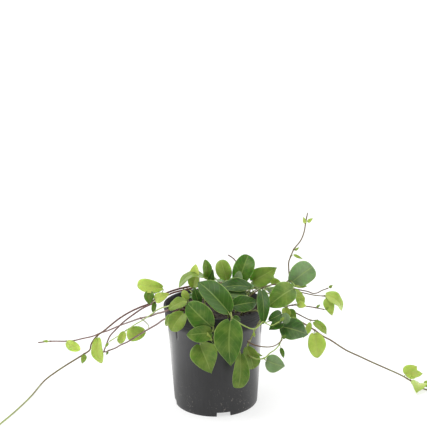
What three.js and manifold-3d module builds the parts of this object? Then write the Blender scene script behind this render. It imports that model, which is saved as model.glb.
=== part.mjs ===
// A greater periwinkle in its nursery pot.
// Millimetres, +Z up. The origin is on the pot's axis at floor level, the front is -Y.

import * as THREE from 'three';
import { mergeVertices } from 'three/addons/utils/BufferGeometryUtils.js';
import Module from 'manifold-3d';

// Driving dimensions.

const POT_HEIGHT = 158;
const RIM_RADIUS = 79;
const LIP_HEIGHT = 6;
const COLLAR_RADIUS = 77.3;
const COLLAR_BOTTOM = 134;
const COLLAR_STEP_RADIUS = 74;
const COLLAR_TAPER = 0.8;
const STEP_RISE = 1.5;
const LIP_ROUNDING = 1.5;
const LIP_WIDTH = 3.5;
const WALL = 2;
const FOOT_RADIUS = 65;
const INSIDE_TAPER = 0.4;
const BASE_UNDERSIDE = 8;
const PAD_RADIUS = 12;
const POT_SEGMENTS = 36;

const NOTCH_WIDTH = 21;
const NOTCH_DEPTH = 12;
const NOTCH_HEIGHT = 6.4;
const NOTCH_FIRST_ANGLE = -80;
const NOTCH_COUNT = 4;

const SOIL_CLEARANCE = 0.3;
const SOIL_EDGE_HEIGHT = 143;
const SOIL_CENTRE_HEIGHT = 146;
const SOIL_SHOULDER = { part: 0.6, drop: 0.8 };

const ROOT_DEPTH = 9;
const ROOT_RISE = 4;
const HOLE_CLEARANCE = 0.8;
const HOLE_FLOOR_GAP = 0.5;
const HOLE_HEIGHT = 20;
const HOLE_SIDES = 6;

const STEM_SIDES = 5;
const PETIOLE_RADIUS = 0.8;
const BLADE_THICKNESS = 0.75;
const TIP_HALF_WIDTH = 0.5;
const BASE_ROUNDING = 0.45;
const BLADE_SHAPE = { fold: 16, arch: 0.1, curl: 0.06, blunt: 0.7 };
const LONG_BLADE = { over: 36, rows: [0.07, 0.3, 0.6, 0.86] };
const MIDDLE_BLADE = { over: 16, rows: [0.12, 0.46, 0.8] };
const SHORT_BLADE = { over: 0, rows: [0.2, 0.7] };
const LONG_STALK = 13;
const STALK_BEND = 0.35;
const STALK_SECTION = [[-1, 0.5], [0, 1], [1, 0.5], [1, -0.5], [0, -1], [-1, -0.5]];

// The shortest edge that is left in a joined stem, and how near points are taken as one.
const SLIVER = 0.02;
const SAME_POINT = 1e-4;

// Colours.

const POT_COLOUR = 0x2b2b2d;
const SOIL_COLOUR = 0x33261c;
const LEAF_COLOUR = 0x4c8a2e;
const YOUNG_COLOUR = 0x7cb53f;

// Leafy stems.

// A spray is one plant stem with what grows from it. Each shoot in it is a path of points with a
// radius. A shoot that starts in the soil has a root: the place where it stands in its hole.
// Each leaf gives the point of its shoot that its stalk leaves from (the first point of the path
// is 1), the blade's base and tip, its width and the way its upper side faces. It can also say how
// much it folds at the midrib (degrees), how far it arches and how far its tip curls down (parts
// of its length), and how blunt it is: 0.4 is a round tip and 0.9 a pointed one.

const SPRAYS = [
  {
    name: 'stem_trail_left_a',
    colour: LEAF_COLOUR,
    shoots: [
      {
        root: [22, 22],
        radius: 1.3,
        steps: 30,
        path: [[20, 20, 170], [12, 18, 182], [-4, 20, 182], [-38, 26, 176], [-67, 36, 166],
          [-91, 47, 152], [-106, 55, 139], [-122, 64, 130], [-140, 73, 119], [-160, 83, 104],
          [-175, 90, 90.4], [-187, 95, 79.2], [-200, 99, 68.8], [-211, 101, 53.2],
          [-214, 102, 42.6], [-224, 102, 35.1], [-240, 100, 25.8], [-255, 95, 17.9],
          [-271, 86, 9.7], [-284, 66, 5.1], [-296, 8, 1.6], [-308, -44, 1.6], [-327, -106, 1.6]],
        leaves: [
          { at: 13, base: [-198, 95, 64.8], tip: [-193, 87, 24.2], width: 22,
            face: [-0.2, -1, 0.1], blunt: 0.5 },
          { at: 16, base: [-222, 98, 34.7], tip: [-227, 94, 21], width: 10, face: [0, -1, 0.3] },
          { at: 6, base: [-84, 40, 170], tip: [-122, 37, 178], width: 22, face: [0, -1, 0.3],
            blunt: 0.36, fold: 10 },
          { at: 6, base: [-103, 31, 167], tip: [-103, 25, 147], width: 17, face: [0.1, -1, 0.2] },
        ],
      },
    ],
  },
  {
    name: 'stem_trail_left_b',
    colour: LEAF_COLOUR,
    shoots: [
      {
        root: [4, 4],
        radius: 1.3,
        steps: 21,
        path: [[4, 5, 172], [-2, 8, 184], [-16, 10, 183], [-38, 14, 176], [-66, 21, 167],
          [-84, 27, 156], [-98, 35, 146], [-110, 44, 138], [-121, 54, 129], [-138, 69, 113],
          [-153, 82, 98], [-168, 95, 80], [-179, 104, 66], [-188, 114, 45], [-194, 122, 30]],
        leaves: [
          { at: 7, base: [-93, 28, 154], tip: [-70, 20, 166], width: 17, face: [0.1, -1, 0.4] },
          { at: 7, base: [-95, 32, 147], tip: [-97, 29, 130], width: 9, face: [-0.2, -1, 0.2] },
        ],
      },
    ],
  },
  {
    name: 'stem_trail_left_c',
    colour: LEAF_COLOUR,
    shoots: [
      {
        root: [-42, -23],
        radius: 1.1,
        steps: 26,
        path: [[-44, -26, 158], [-57, -38, 167], [-66, -46, 163], [-74, -36, 157],
          [-80, -24, 151], [-89, -6, 143], [-102, 16, 131], [-120, 48, 117], [-142, 84, 98],
          [-162, 112, 82], [-186, 134, 65], [-203, 148, 55], [-217, 158, 46], [-239, 170, 37],
          [-255, 177, 31], [-270, 182, 28], [-300, 188, 26], [-323, 190, 23]],
        leaves: [
          { at: 16, base: [-268, 179, 27], tip: [-244, 173, 14], width: 19, face: [0.2, -1, 0.3],
            blunt: 0.5 },
          { at: 17, base: [-304, 185, 27], tip: [-312, 180, 30], width: 5, face: [0, -1, 0.5] },
          { at: 8, base: [-118, 81, 83], tip: [-147, 80, 74], width: 25, face: [0, -1, 0.2],
            blunt: 0.4, fold: 8 },
        ],
      },
    ],
  },
  {
    name: 'stem_trail_left_d',
    colour: LEAF_COLOUR,
    shoots: [
      {
        root: [-40, -36],
        radius: 1.2,
        steps: 18,
        path: [[-46, -42, 160], [-53, -49, 163], [-60, -54, 161], [-67, -50, 153],
          [-73, -40, 147], [-80, -26, 139], [-88, -10, 128], [-103, 16, 111], [-126, 52, 86],
          [-146, 76, 66], [-160, 90, 55], [-170, 100, 47], [-183, 108, 42]],
        leaves: [
          { at: 13, base: [-184, 108, 40], tip: [-187, 107, 36], width: 4, face: [0, -1, 0.4] },
        ],
      },
    ],
  },
  {
    name: 'stem_trail_left_e',
    colour: YOUNG_COLOUR,
    shoots: [
      {
        root: [-48, -26],
        radius: 0.9,
        steps: 18,
        path: [[-53, -30, 165], [-58, -39, 172], [-65, -47, 170], [-72, -36, 164],
          [-79, -22, 158], [-89, -8, 149], [-97, 6, 139], [-116, 31, 119], [-130, 48, 106],
          [-141, 60, 95], [-162, 80, 75], [-178, 93, 61]],
        leaves: [
          { at: 10, base: [-149, 58, 90], tip: [-157, 56, 71], width: 14, face: [0, -1, 0.3],
            blunt: 0.5 },
          { at: 12, base: [-181, 94, 57], tip: [-186, 93, 50], width: 5, face: [0, -1, 0.4] },
        ],
      },
    ],
  },
  {
    name: 'stem_left_low',
    colour: LEAF_COLOUR,
    shoots: [
      {
        root: [-29, -40],
        radius: 1.0,
        steps: 10,
        path: [[-36, -43, 162], [-44, -49, 172], [-50, -60, 170], [-53, -66, 164]],
        leaves: [
          { at: 2, base: [-43, -52, 178], tip: [-67, -65, 169], width: 19, face: [0, -0.8, 1],
            blunt: 0.55 },
          { at: 1, base: [-40, -40, 176], tip: [-47, -36, 189], width: 12, face: [0, -1, 0.2],
            blunt: 0.5 },
          { at: 4, base: [-46, -69, 164], tip: [-63, -77, 141], width: 27, face: [-0.2, -1, 0.3],
            blunt: 0.5 },
          { at: 4, base: [-62, -66, 160], tip: [-72, -62, 143], width: 14, face: [-0.6, -1, 0.3] },
        ],
      },
    ],
  },
  {
    name: 'stem_front_left',
    colour: LEAF_COLOUR,
    shoots: [
      {
        root: [-18, -36],
        radius: 1.1,
        steps: 13,
        path: [[-17, -46, 162], [-14, -58, 169], [-10, -72, 170], [-6, -81, 162], [-3, -84, 150],
          [0, -82, 133], [4, -82, 116]],
        leaves: [
          { at: 5, base: [-6, -86, 151], tip: [-39, -76, 182], width: 36, face: [-0.1, -1, 0.1],
            blunt: 0.5, fold: 12 },
          { at: 5, base: [-6, -87, 141], tip: [-41, -89, 139], width: 26, face: [0, -1, 0.3],
            blunt: 0.6, fold: 20 },
          { at: 6, base: [-22, -85, 122], tip: [-6, -93, 81], width: 42, face: [-0.1, -1, 0.2],
            blunt: 0.9, fold: 14 },
          { at: 7, base: [-6, -88, 130], tip: [-11, -92, 144], width: 8, face: [-0.4, -1, 0] },
          { at: 2, base: [-24, -40, 170], tip: [-31, -34, 194], width: 15, face: [0.2, -1, 0.2] },
        ],
      },
    ],
  },
  {
    name: 'stem_front_centre',
    colour: LEAF_COLOUR,
    shoots: [
      {
        root: [20, -36],
        radius: 1.2,
        steps: 13,
        path: [[21, -48, 160], [22, -62, 167], [23, -76, 168], [24, -84, 160], [26, -84, 145],
          [29, -84, 130], [33, -85, 116]],
        leaves: [
          { at: 4, base: [19, -77, 169], tip: [-24, -44, 204], width: 41, face: [0.2, -0.8, 0.5],
            fold: 22, blunt: 0.6 },
          { at: 4, base: [22, -88, 158], tip: [22, -95, 93], width: 43, face: [-0.1, -1, 0.15],
            fold: 14, blunt: 0.75 },
          { at: 7, base: [36, -90, 108], tip: [32, -94, 59], width: 25, face: [0.1, -1, 0.1],
            arch: 0.06, blunt: 0.35 },
          { at: 3, base: [25, -62, 172], tip: [62, -46, 172], width: 26, face: [0, -0.9, 0.6],
            blunt: 0.6 },
          { at: 4, base: [27, -78, 161], tip: [37, -76, 154], width: 9, face: [0, -1, 0.4] },
        ],
      },
      {
        from: [24, -84, 160],
        radius: 0.9,
        steps: 14,
        path: [[30, -89, 159], [41, -91, 152.5], [54, -90, 147], [62, -86, 149],
          [68, -81, 154], [74, -77, 150], [81, -74, 146], [93, -68, 149]],
        leaves: [
          { at: 3, base: [55, -91, 142], tip: [56, -91, 135], width: 4, face: [0, -1, 0.1] },
          { at: 8, base: [96, -66, 151], tip: [101, -64, 155], width: 5, face: [0, -1, 0.3] },
        ],
      },
    ],
  },
  {
    name: 'stem_front_right',
    colour: LEAF_COLOUR,
    shoots: [
      {
        root: [40, -30],
        radius: 1.2,
        steps: 14,
        path: [[46, -38, 155], [55, -48, 160], [62, -55, 162], [68, -59, 155], [60, -67, 141],
          [51, -73, 124], [44, -77, 106]],
        leaves: [
          { at: 6, base: [46, -78, 114], tip: [55, -84, 84], width: 25, face: [0.2, -1, 0.2],
            blunt: 0.42 },
          { at: 7, base: [46, -81, 104], tip: [68, -80, 102], width: 10, face: [0, -0.8, 0.8] },
        ],
      },
      {
        from: [44, -77, 106],
        radius: 0.9,
        steps: 13,
        path: [[51, -90, 105], [60, -94, 103], [70, -92, 103.5], [79, -84, 108],
          [87, -76, 110], [94, -66, 114], [99, -54, 121]],
        leaves: [
          { at: 3, base: [74, -86, 97], tip: [100, -88, 89], width: 27, face: [0, -1, 0.3],
            blunt: 0.7 },
          { at: 7, base: [99, -52, 136], tip: [139, -41, 119], width: 34, face: [0, -1, 0.3],
            fold: 12, blunt: 0.8 },
          { at: 6, base: [96, -67, 108], tip: [100, -68, 93], width: 7, face: [0.2, -1, 0.1] },
        ],
      },
      {
        from: [51, -73, 124],
        radius: 1.0,
        steps: 12,
        path: [[47, -84, 125.5], [53, -91, 124.5], [60, -94, 123], [70, -92, 120.5],
          [79, -87, 118.5], [88, -79, 118], [97, -69, 121]],
        leaves: [
          { at: 7, base: [99, -67, 123], tip: [103, -65, 128], width: 5, face: [0, -1, 0.3] },
        ],
      },
      {
        from: [60, -67, 141],
        radius: 0.8,
        steps: 8,
        path: [[66, -66, 145], [76, -62, 147], [88, -56, 149], [98, -50, 150]],
        leaves: [
          { at: 4, base: [98, -50, 155], tip: [78, -62, 150], width: 18, face: [0, -1, 0.5],
            blunt: 0.55 },
          { at: 4, base: [98, -50, 142], tip: [79, -60, 134], width: 17, face: [0, -1, 0.5] },
          { at: 4, base: [103, -51, 156], tip: [105, -55, 141], width: 14, face: [0, -1, 0.2],
            blunt: 0.5 },
        ],
      },
    ],
  },
  {
    name: 'stem_right_long',
    colour: LEAF_COLOUR,
    shoots: [
      {
        root: [48, -14],
        radius: 1.25,
        steps: 27,
        path: [[58, -17, 160], [74, -21, 167], [92, -25, 164], [106, -24, 157], [116, -18, 147],
          [127, 2, 128], [143, 18, 113], [159, 30, 99], [173, 38, 86], [186, 44, 77],
          [214, 54, 55], [238, 58, 41.7], [258, 60, 31], [284, 58, 19.2], [304, 51, 11.6],
          [319, 40, 5.6], [331, 22, 1.6], [355, 0, 1.6]],
        leaves: [
          { at: 8, base: [157, 24, 95], tip: [161, 13, 59], width: 29, face: [0.1, -1, 0.1],
            fold: 8, blunt: 0.55 },
          { at: 16, base: [315, 61, 8], tip: [334, 64, 21], width: 26, face: [-0.1, -1, 0.5] },
          { at: 16, base: [324, 53, 8.5], tip: [341, 51, 13], width: 15,
            face: [-0.2, -0.7, 1] },
          { at: 17, base: [330, 30, 6], tip: [317, -2, 4], width: 27, face: [0, -0.3, 1] },
          { at: 17, base: [337, 24, 4], tip: [352, 30, 8], width: 14, face: [0, -0.5, 1] },
          { at: 5, base: [105, -34, 158], tip: [106, -42, 140], width: 14, face: [0.1, -1, 0.4] },
          { at: 5, base: [112, -30, 154], tip: [121, -38, 140], width: 13, face: [0.2, -1, 0.3] },
        ],
      },
      {
        from: [106, -24, 157],
        radius: 0.7,
        steps: 9,
        path: [[118, -25, 160], [137, -25, 158], [152, -24, 155], [165, -24, 152]],
        leaves: [
          { at: 3, base: [154, -24, 156], tip: [159, -24, 160], width: 4, face: [0, -1, 0.3] },
          { at: 4, base: [167, -24, 152], tip: [172, -24, 155], width: 4, face: [0, -1, 0.3] },
          { at: 1, base: [124, -29, 163], tip: [137, -31, 160], width: 12, face: [0, -1, 0.6] },
        ],
      },
      {
        from: [113, -21, 150],
        radius: 0.8,
        steps: 9,
        path: [[121, -25, 148], [129, -26, 144], [138, -26, 139], [145, -26, 136], [156, -26, 136]],
        leaves: [
          { at: 5, base: [150, -29, 134], tip: [168, -33, 115], width: 14, face: [0.3, -1, 0.4],
            curl: 0.3 },
          { at: 4, base: [143, -29, 132], tip: [133, -33, 111], width: 10, face: [0.1, -1, 0.2] },
        ],
      },
    ],
  },
  {
    name: 'stem_right_upright',
    colour: LEAF_COLOUR,
    shoots: [
      {
        root: [44, 6],
        radius: 1.2,
        steps: 20,
        path: [[54, 5, 165], [70, 2, 177], [88, -1, 185], [104, -2, 187], [114, -1, 192],
          [114, 2, 206], [114, 4, 219], [117, 6, 227], [122, 8, 238], [133, 10, 252],
          [138, 10, 266], [140, 10, 280], [143, 12, 294]],
        leaves: [
          { at: 5, base: [117, -27, 186], tip: [79, -49, 167], width: 36, face: [0.2, -1, 0.5],
            fold: 12, blunt: 0.55 },
          { at: 5, base: [117, -2, 188], tip: [151, 6, 211], width: 37, face: [0, -1, 0.2],
            fold: 12, blunt: 0.36 },
          { at: 9, base: [124, 7, 237], tip: [130, 5, 242], width: 4, face: [0, -1, 0.4] },
          { at: 8, base: [122, 5, 230], tip: [135, 3, 224], width: 5, face: [0, -1, 0.4] },
          { at: 12, base: [139, 8, 279], tip: [136, 6, 289], width: 6, face: [0, -1, 0.2] },
          { at: 12, base: [143, 8, 281], tip: [150, 5, 287], width: 6, face: [0, -1, 0.4] },
        ],
      },
      {
        from: [104, -2, 187],
        radius: 0.8,
        steps: 9,
        path: [[116, -8, 182], [130, -7, 178], [143, -3, 174], [151, 0, 170], [158, 2, 170],
          [165, 4, 173], [175, 6, 176]],
        leaves: [
          { at: 1, base: [124, -5, 186], tip: [141, -6, 183], width: 12, face: [0, -1, 0.6] },
          { at: 7, base: [177, 6, 177], tip: [182, 6, 181], width: 5, face: [0, -1, 0.3] },
        ],
      },
      {
        from: [104, -2, 187],
        radius: 0.8,
        steps: 10,
        path: [[116, -14, 179], [127, -13, 177], [138, -12, 174], [153, -10, 170], [167, -8, 168]],
        leaves: [
          { at: 5, base: [170, -9, 170], tip: [194, -11, 145], width: 25, face: [0.6, -0.8, 0.7],
            arch: 0.24 },
          { at: 5, base: [171, -13, 165], tip: [178, -21, 141], width: 17, face: [-0.3, -1, 0.2] },
          { at: 2, base: [126, -13, 173], tip: [133, -15, 156], width: 15, face: [0.3, -1, 0.2],
            blunt: 0.5 },
          { at: 1, base: [119, -19, 180], tip: [132, -27, 172], width: 12, face: [0, -1, 0.7],
            blunt: 0.5 },
        ],
      },
    ],
  },
  {
    name: 'stem_top_left',
    colour: LEAF_COLOUR,
    shoots: [
      {
        root: [-16, -6],
        radius: 1.1,
        steps: 8,
        path: [[-15, -5, 165], [-12, -3, 180], [-10, -2, 191]],
        leaves: [
          { at: 3, base: [-12, -4, 197], tip: [-54, -16, 187], width: 28, face: [0, -0.15, 1],
            arch: 0.3, fold: 10, blunt: 0.55 },
          { at: 3, base: [-12, 2, 196], tip: [-14, 4, 225], width: 16, face: [0.3, -1, 0.2],
            fold: 20, blunt: 0.5 },
          { at: 2, base: [-9, 0, 186], tip: [-2, 2, 210], width: 11, face: [0.3, -1, 0.2] },
          { at: 1, base: [-24, 7, 163], tip: [-50, 22, 158], width: 20, face: [0, -0.3, 1] },
        ],
      },
      {
        from: [-15, -5, 165],
        radius: 0.8,
        steps: 6,
        path: [[-22, -6, 172], [-30, -6, 180]],
        leaves: [
          { at: 2, base: [-32, -4, 184], tip: [-28, 0, 219], width: 20, face: [-0.3, -1, 0.3],
            fold: 20, blunt: 0.6 },
        ],
      },
    ],
  },
  {
    name: 'stem_top_centre',
    colour: LEAF_COLOUR,
    shoots: [
      {
        root: [27, 6],
        radius: 1.2,
        steps: 12,
        path: [[25, 5, 165], [29, 4, 180], [33, 6, 196], [37, 14, 210], [31, 22, 220],
          [22, 26, 226]],
        leaves: [
          { at: 3, base: [19, 2, 194], tip: [10, 8, 223], width: 25, face: [0.1, -1, 0.2],
            fold: 16, blunt: 0.45 },
          { at: 3, base: [37, 2, 186], tip: [53, 20, 227], width: 32, face: [-0.1, -1, 0.3],
            fold: 12, blunt: 0.42 },
          { at: 2, base: [31, -4, 184], tip: [39, 0, 207], width: 15, face: [0, -1, 0.2],
            blunt: 0.5 },
          { at: 1, base: [17, -7, 161], tip: [-7, -20, 157], width: 19, face: [0, -0.4, 1] },
        ],
      },
    ],
  },
  {
    name: 'stem_top_right',
    colour: LEAF_COLOUR,
    shoots: [
      {
        root: [48, 22],
        radius: 1.0,
        steps: 8,
        path: [[52, 20, 164], [58, 16, 174], [70, 15, 180], [84, 18, 183]],
        leaves: [
          { at: 2, base: [59, 9, 188], tip: [97, 14, 208], width: 31, face: [0, -1, 0.4],
            fold: 10, blunt: 0.75 },
          { at: 4, base: [88, 18, 185], tip: [104, 18, 182], width: 12, face: [0, -1, 0.4] },
          { at: 3, base: [76, 20, 181], tip: [92, 46, 186], width: 26, face: [0.1, -0.5, 1] },
          { at: 1, base: [42, 24, 161], tip: [19, 36, 155], width: 18, face: [0, -0.2, 1] },
        ],
      },
    ],
  },
  {
    name: 'stem_middle',
    colour: LEAF_COLOUR,
    shoots: [
      {
        root: [32, -14],
        radius: 1.1,
        steps: 10,
        path: [[38, -17, 162], [48, -21, 174], [58, -25, 182]],
        leaves: [
          { at: 3, base: [54, -22, 188], tip: [-2, -34, 187], width: 26, face: [0, -0.6, 1],
            blunt: 0.6 },
          { at: 3, base: [69, -42, 188], tip: [70, -73, 148], width: 20, face: [0.1, -1, 0.3],
            blunt: 0.55 },
          { at: 2, base: [46, -36, 179], tip: [14, -47, 181], width: 22, face: [0, -0.6, 1] },
        ],
      },
    ],
  },
];

// Back shoots, placed by rule.

// Short leafy shoots behind the plant, one for each angle about the pot's axis. They lean out over
// the rim and hang down the wall in turn, and three nodes of each carry a pair of leaves.

const BACK_SEED = 2353;
const ROW_FACTOR = 16807;
const ROW_MODULUS = 2147483647;
const BACK_ROOT_RADIUS = 50;
const BACK_STEM_RADIUS = 1;
const BACK_STEM_STEPS = 10;
const BACK_LEAF_LENGTH = 31;
const BACK_LEAF_WIDTH = 22;
const BACK_STALK = { along: 6, outward: 2 };
const BACK_LEAF_CHANCE = { sideways: 0.2, drop: 0.3 };
const BACK_SIZE = { least: 0.85, chance: 0.3 };
const BACK_BLUNT = { least: 0.5, chance: 0.3 };
const LEANING_LEAF = { outward: 0.8, sideways: 0.6, drop: 0.1, faceUp: 1.4 };
const HANGING_LEAF = { outward: 0.15, sideways: 0.35, drop: 0.6, faceUp: 0.3 };
const LEANING_PATH = [[57, 160], [71, 167], [84, 166], [95, 160], [104, 152]];
const HANGING_PATH = [[57, 158], [72, 164], [82, 160], [86, 144], [85, 126], [84, 108]];
const BACK_SHOOTS = [
  { angle: 34, path: LEANING_PATH, nodes: [2, 4, 5], hanging: false },
  { angle: 60, path: HANGING_PATH, nodes: [4, 5, 6], hanging: true },
  { angle: 82, path: LEANING_PATH, nodes: [2, 4, 5], hanging: false },
  { angle: 98, path: HANGING_PATH, nodes: [4, 6], hanging: true },
  { angle: 128, path: HANGING_PATH, nodes: [4, 5, 6], hanging: true },
];

// Small tools.

const wasm = await Module();
wasm.setup();

const radians = THREE.MathUtils.degToRad;

/** A row of numbers between 0 and 1 that is the same at every run. */
function numberRow(seed) {
  let state = seed;
  return () => {
    state = (state * ROW_FACTOR) % ROW_MODULUS;
    return state / ROW_MODULUS;
  };
}

/** A closed geometry as a solid that can be joined and cut. */
function toSolid(geometry) {
  const bare = geometry.clone();
  bare.deleteAttribute('normal');
  bare.deleteAttribute('uv');
  const merged = mergeVertices(bare, SAME_POINT);
  return new wasm.Manifold(new wasm.Mesh({
    numProp: 3,
    vertProperties: new Float32Array(merged.attributes.position.array),
    triVerts: new Uint32Array(merged.index.array),
  }));
}

/** A joined solid without the slivers that its pieces leave where they meet. */
function withoutSlivers(solid) {
  let clean = solid.asOriginal();
  let before = Infinity;
  while (clean.numTri() < before) {
    before = clean.numTri();
    clean = toSolid(toGeometry(clean)).simplify(SLIVER);
  }
  return clean;
}

/** A solid as a geometry again. */
function toGeometry(solid) {
  const mesh = solid.getMesh();
  const geometry = new THREE.BufferGeometry();
  geometry.setAttribute('position', new THREE.BufferAttribute(mesh.vertProperties, 3));
  geometry.setIndex(new THREE.BufferAttribute(mesh.triVerts, 1));
  geometry.computeVertexNormals();
  return geometry;
}

/** A named mesh with its own material. */
function part(name, geometry, colour, roughness) {
  const material = new THREE.MeshStandardMaterial({ color: colour, roughness, metalness: 0 });
  const mesh = new THREE.Mesh(geometry, material);
  mesh.name = name;
  return mesh;
}

// Pot and soil.

/** A round body about the Z axis. Its profile of [radius, height] points starts and ends on it. */
function lathe(points) {
  return new THREE.LatheGeometry(points.map(([r, z]) => new THREE.Vector2(r, z)), POT_SEGMENTS)
    .rotateX(Math.PI / 2);
}

/** Tapered pot with a collar band and a rolled lip, standing on a thin skirt and a centre pad. */
function makePot() {
  const collarInside = COLLAR_RADIUS - WALL;
  const lipBottom = POT_HEIGHT - LIP_HEIGHT;
  const profile = [
    [0, 0], [PAD_RADIUS, 0], [PAD_RADIUS + 1, BASE_UNDERSIDE],
    [FOOT_RADIUS - WALL, BASE_UNDERSIDE], [FOOT_RADIUS - WALL, 0],
    [FOOT_RADIUS, 0], [COLLAR_STEP_RADIUS, COLLAR_BOTTOM],
    [COLLAR_RADIUS - COLLAR_TAPER, COLLAR_BOTTOM + STEP_RISE], [COLLAR_RADIUS, lipBottom],
    [RIM_RADIUS, lipBottom + 1], [RIM_RADIUS, POT_HEIGHT - LIP_ROUNDING],
    [RIM_RADIUS - 1, POT_HEIGHT], [RIM_RADIUS - LIP_WIDTH, POT_HEIGHT],
    [collarInside, POT_HEIGHT - WALL], [collarInside - COLLAR_TAPER, COLLAR_BOTTOM + 1],
    [COLLAR_STEP_RADIUS - WALL, COLLAR_BOTTOM - 1],
    [FOOT_RADIUS - WALL + INSIDE_TAPER, BASE_UNDERSIDE + WALL], [0, BASE_UNDERSIDE + WALL],
  ];
  let pot = toSolid(lathe(profile));
  for (let i = 0; i < NOTCH_COUNT; i += 1) {
    const angle = radians(NOTCH_FIRST_ANGLE + (i * 360) / NOTCH_COUNT);
    const notch = new THREE.BoxGeometry(NOTCH_DEPTH, NOTCH_WIDTH, 2 * NOTCH_HEIGHT)
      .translate(FOOT_RADIUS, 0, 0)
      .rotateZ(angle);
    pot = pot.subtract(toSolid(notch));
  }
  return part('pot', toGeometry(pot), POT_COLOUR, 0.45);
}

/** Where each stem stands in the soil, with its radius. */
function rootPlaces(sprays) {
  return sprays.flatMap((spray) => spray.shoots
    .filter((shoot) => shoot.root)
    .map((shoot) => ({ x: shoot.root[0], y: shoot.root[1], radius: shoot.radius })));
}

/** Soil that fills the pot, clear of its wall, with a plain hole for each stem. */
function makeSoil(sprays) {
  const inset = WALL + SOIL_CLEARANCE;
  const bottom = BASE_UNDERSIDE + WALL + SOIL_CLEARANCE;
  const edge = COLLAR_RADIUS - COLLAR_TAPER - inset;
  const profile = [
    [0, bottom], [FOOT_RADIUS - inset + INSIDE_TAPER, bottom],
    [COLLAR_STEP_RADIUS - inset, COLLAR_BOTTOM - 1],
    [edge, COLLAR_BOTTOM + STEP_RISE], [edge, SOIL_EDGE_HEIGHT],
    [edge * SOIL_SHOULDER.part, SOIL_CENTRE_HEIGHT - SOIL_SHOULDER.drop],
    [0, SOIL_CENTRE_HEIGHT],
  ];
  let soil = toSolid(lathe(profile));
  for (const place of rootPlaces(sprays)) {
    const radius = (place.radius + HOLE_CLEARANCE) / Math.cos(Math.PI / HOLE_SIDES);
    const floor = SOIL_EDGE_HEIGHT - ROOT_DEPTH - HOLE_FLOOR_GAP;
    const hole = new THREE.CylinderGeometry(radius, radius, HOLE_HEIGHT, HOLE_SIDES)
      .rotateX(Math.PI / 2)
      .translate(place.x, place.y, floor + HOLE_HEIGHT / 2);
    soil = soil.subtract(toSolid(hole));
  }
  return part('soil', toGeometry(withoutSlivers(soil)), SOIL_COLOUR, 0.95);
}

// Stems.

/** A round section with a few flat sides. */
function section(radius, sides) {
  const shape = new THREE.Shape();
  for (let i = 0; i < sides; i += 1) {
    const angle = (2 * Math.PI * i) / sides;
    const point = [radius * Math.cos(angle), radius * Math.sin(angle)];
    if (i === 0) {
      shape.moveTo(...point);
    } else {
      shape.lineTo(...point);
    }
  }
  shape.closePath();
  return shape;
}

/** A closed tube along a curve. */
function tube(curve, radius, sides, steps) {
  const geometry = new THREE.ExtrudeGeometry(section(radius, sides), {
    steps,
    extrudePath: curve,
    bevelEnabled: false,
  });
  return toSolid(geometry);
}

/** The points of a shoot. One that stands in the soil first rises straight out of its hole. */
function shootPoints(shoot) {
  const start = [];
  if (shoot.root) {
    const [x, y] = shoot.root;
    start.push([x, y, SOIL_EDGE_HEIGHT - ROOT_DEPTH], [x, y, SOIL_CENTRE_HEIGHT + ROOT_RISE]);
  } else {
    start.push(shoot.from);
  }
  return [...start, ...shoot.path].map((point) => new THREE.Vector3(...point));
}

/** The tube of one shoot. */
function makeShoot(shoot) {
  const curve = new THREE.CatmullRomCurve3(shootPoints(shoot));
  return tube(curve, shoot.radius, STEM_SIDES, shoot.steps);
}

// Leaves.

/** Half width of a blade, as a part of its greatest half width, at v from 0 to 1 along it. */
function bladeOutline(v, blunt) {
  const widest = BASE_ROUNDING / (BASE_ROUNDING + blunt);
  return ((v / widest) ** BASE_ROUNDING) * (((1 - v) / (1 - widest)) ** blunt);
}

/** Rows across a blade, as parts of its length: small leaves get fewer. */
function bladeRows(length) {
  return [LONG_BLADE, MIDDLE_BLADE, SHORT_BLADE].find((kind) => length > kind.over).rows;
}

/** The directions of a leaf: along it, across it and out of its upper side. */
function leafAxes(leaf) {
  const along = new THREE.Vector3(...leaf.tip).sub(new THREE.Vector3(...leaf.base));
  const length = along.length();
  along.normalize();
  const up = new THREE.Vector3(...leaf.face);
  up.addScaledVector(along, -up.dot(along)).normalize();
  const across = new THREE.Vector3().crossVectors(along, up);
  return { along, up, across, length };
}

/** A point on the middle surface of a blade: u is -1 to 1 across it and v is 0 to 1 along it. */
function bladePoint(leaf, axes, half, u, v) {
  const { fold, arch, curl } = { ...BLADE_SHAPE, ...leaf };
  const rise = axes.length * (arch * 4 * v * (1 - v) + curl * (v - v ** 3));
  return new THREE.Vector3(...leaf.base)
    .addScaledVector(axes.along, axes.length * v)
    .addScaledVector(axes.up, rise + Math.abs(u) * half * Math.sin(radians(fold)))
    .addScaledVector(axes.across, u * half * Math.cos(radians(fold)));
}

/** The six points round a blade at one row: left, rib and right above, then back below. */
function bladeRing(leaf, axes, v) {
  const { fold, blunt } = { ...BLADE_SHAPE, ...leaf };
  const half = Math.max(TIP_HALF_WIDTH, (leaf.width / 2) * bladeOutline(v, blunt));
  const offset = BLADE_THICKNESS / 2 / Math.cos(radians(fold));
  const row = [-1, 0, 1].map((u) => bladePoint(leaf, axes, half, u, v));
  const above = row.map((point) => point.clone().addScaledVector(axes.up, offset));
  const below = row.map((point) => point.clone().addScaledVector(axes.up, -offset));
  return [...above, ...below.reverse()];
}

/** Six points round the stalk, in the same order, in a frame carried along it. */
function stalkRing(centre, across, up) {
  return STALK_SECTION.map(([a, b]) => centre.clone()
    .addScaledVector(across, a * PETIOLE_RADIUS)
    .addScaledVector(up, b * PETIOLE_RADIUS));
}

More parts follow.
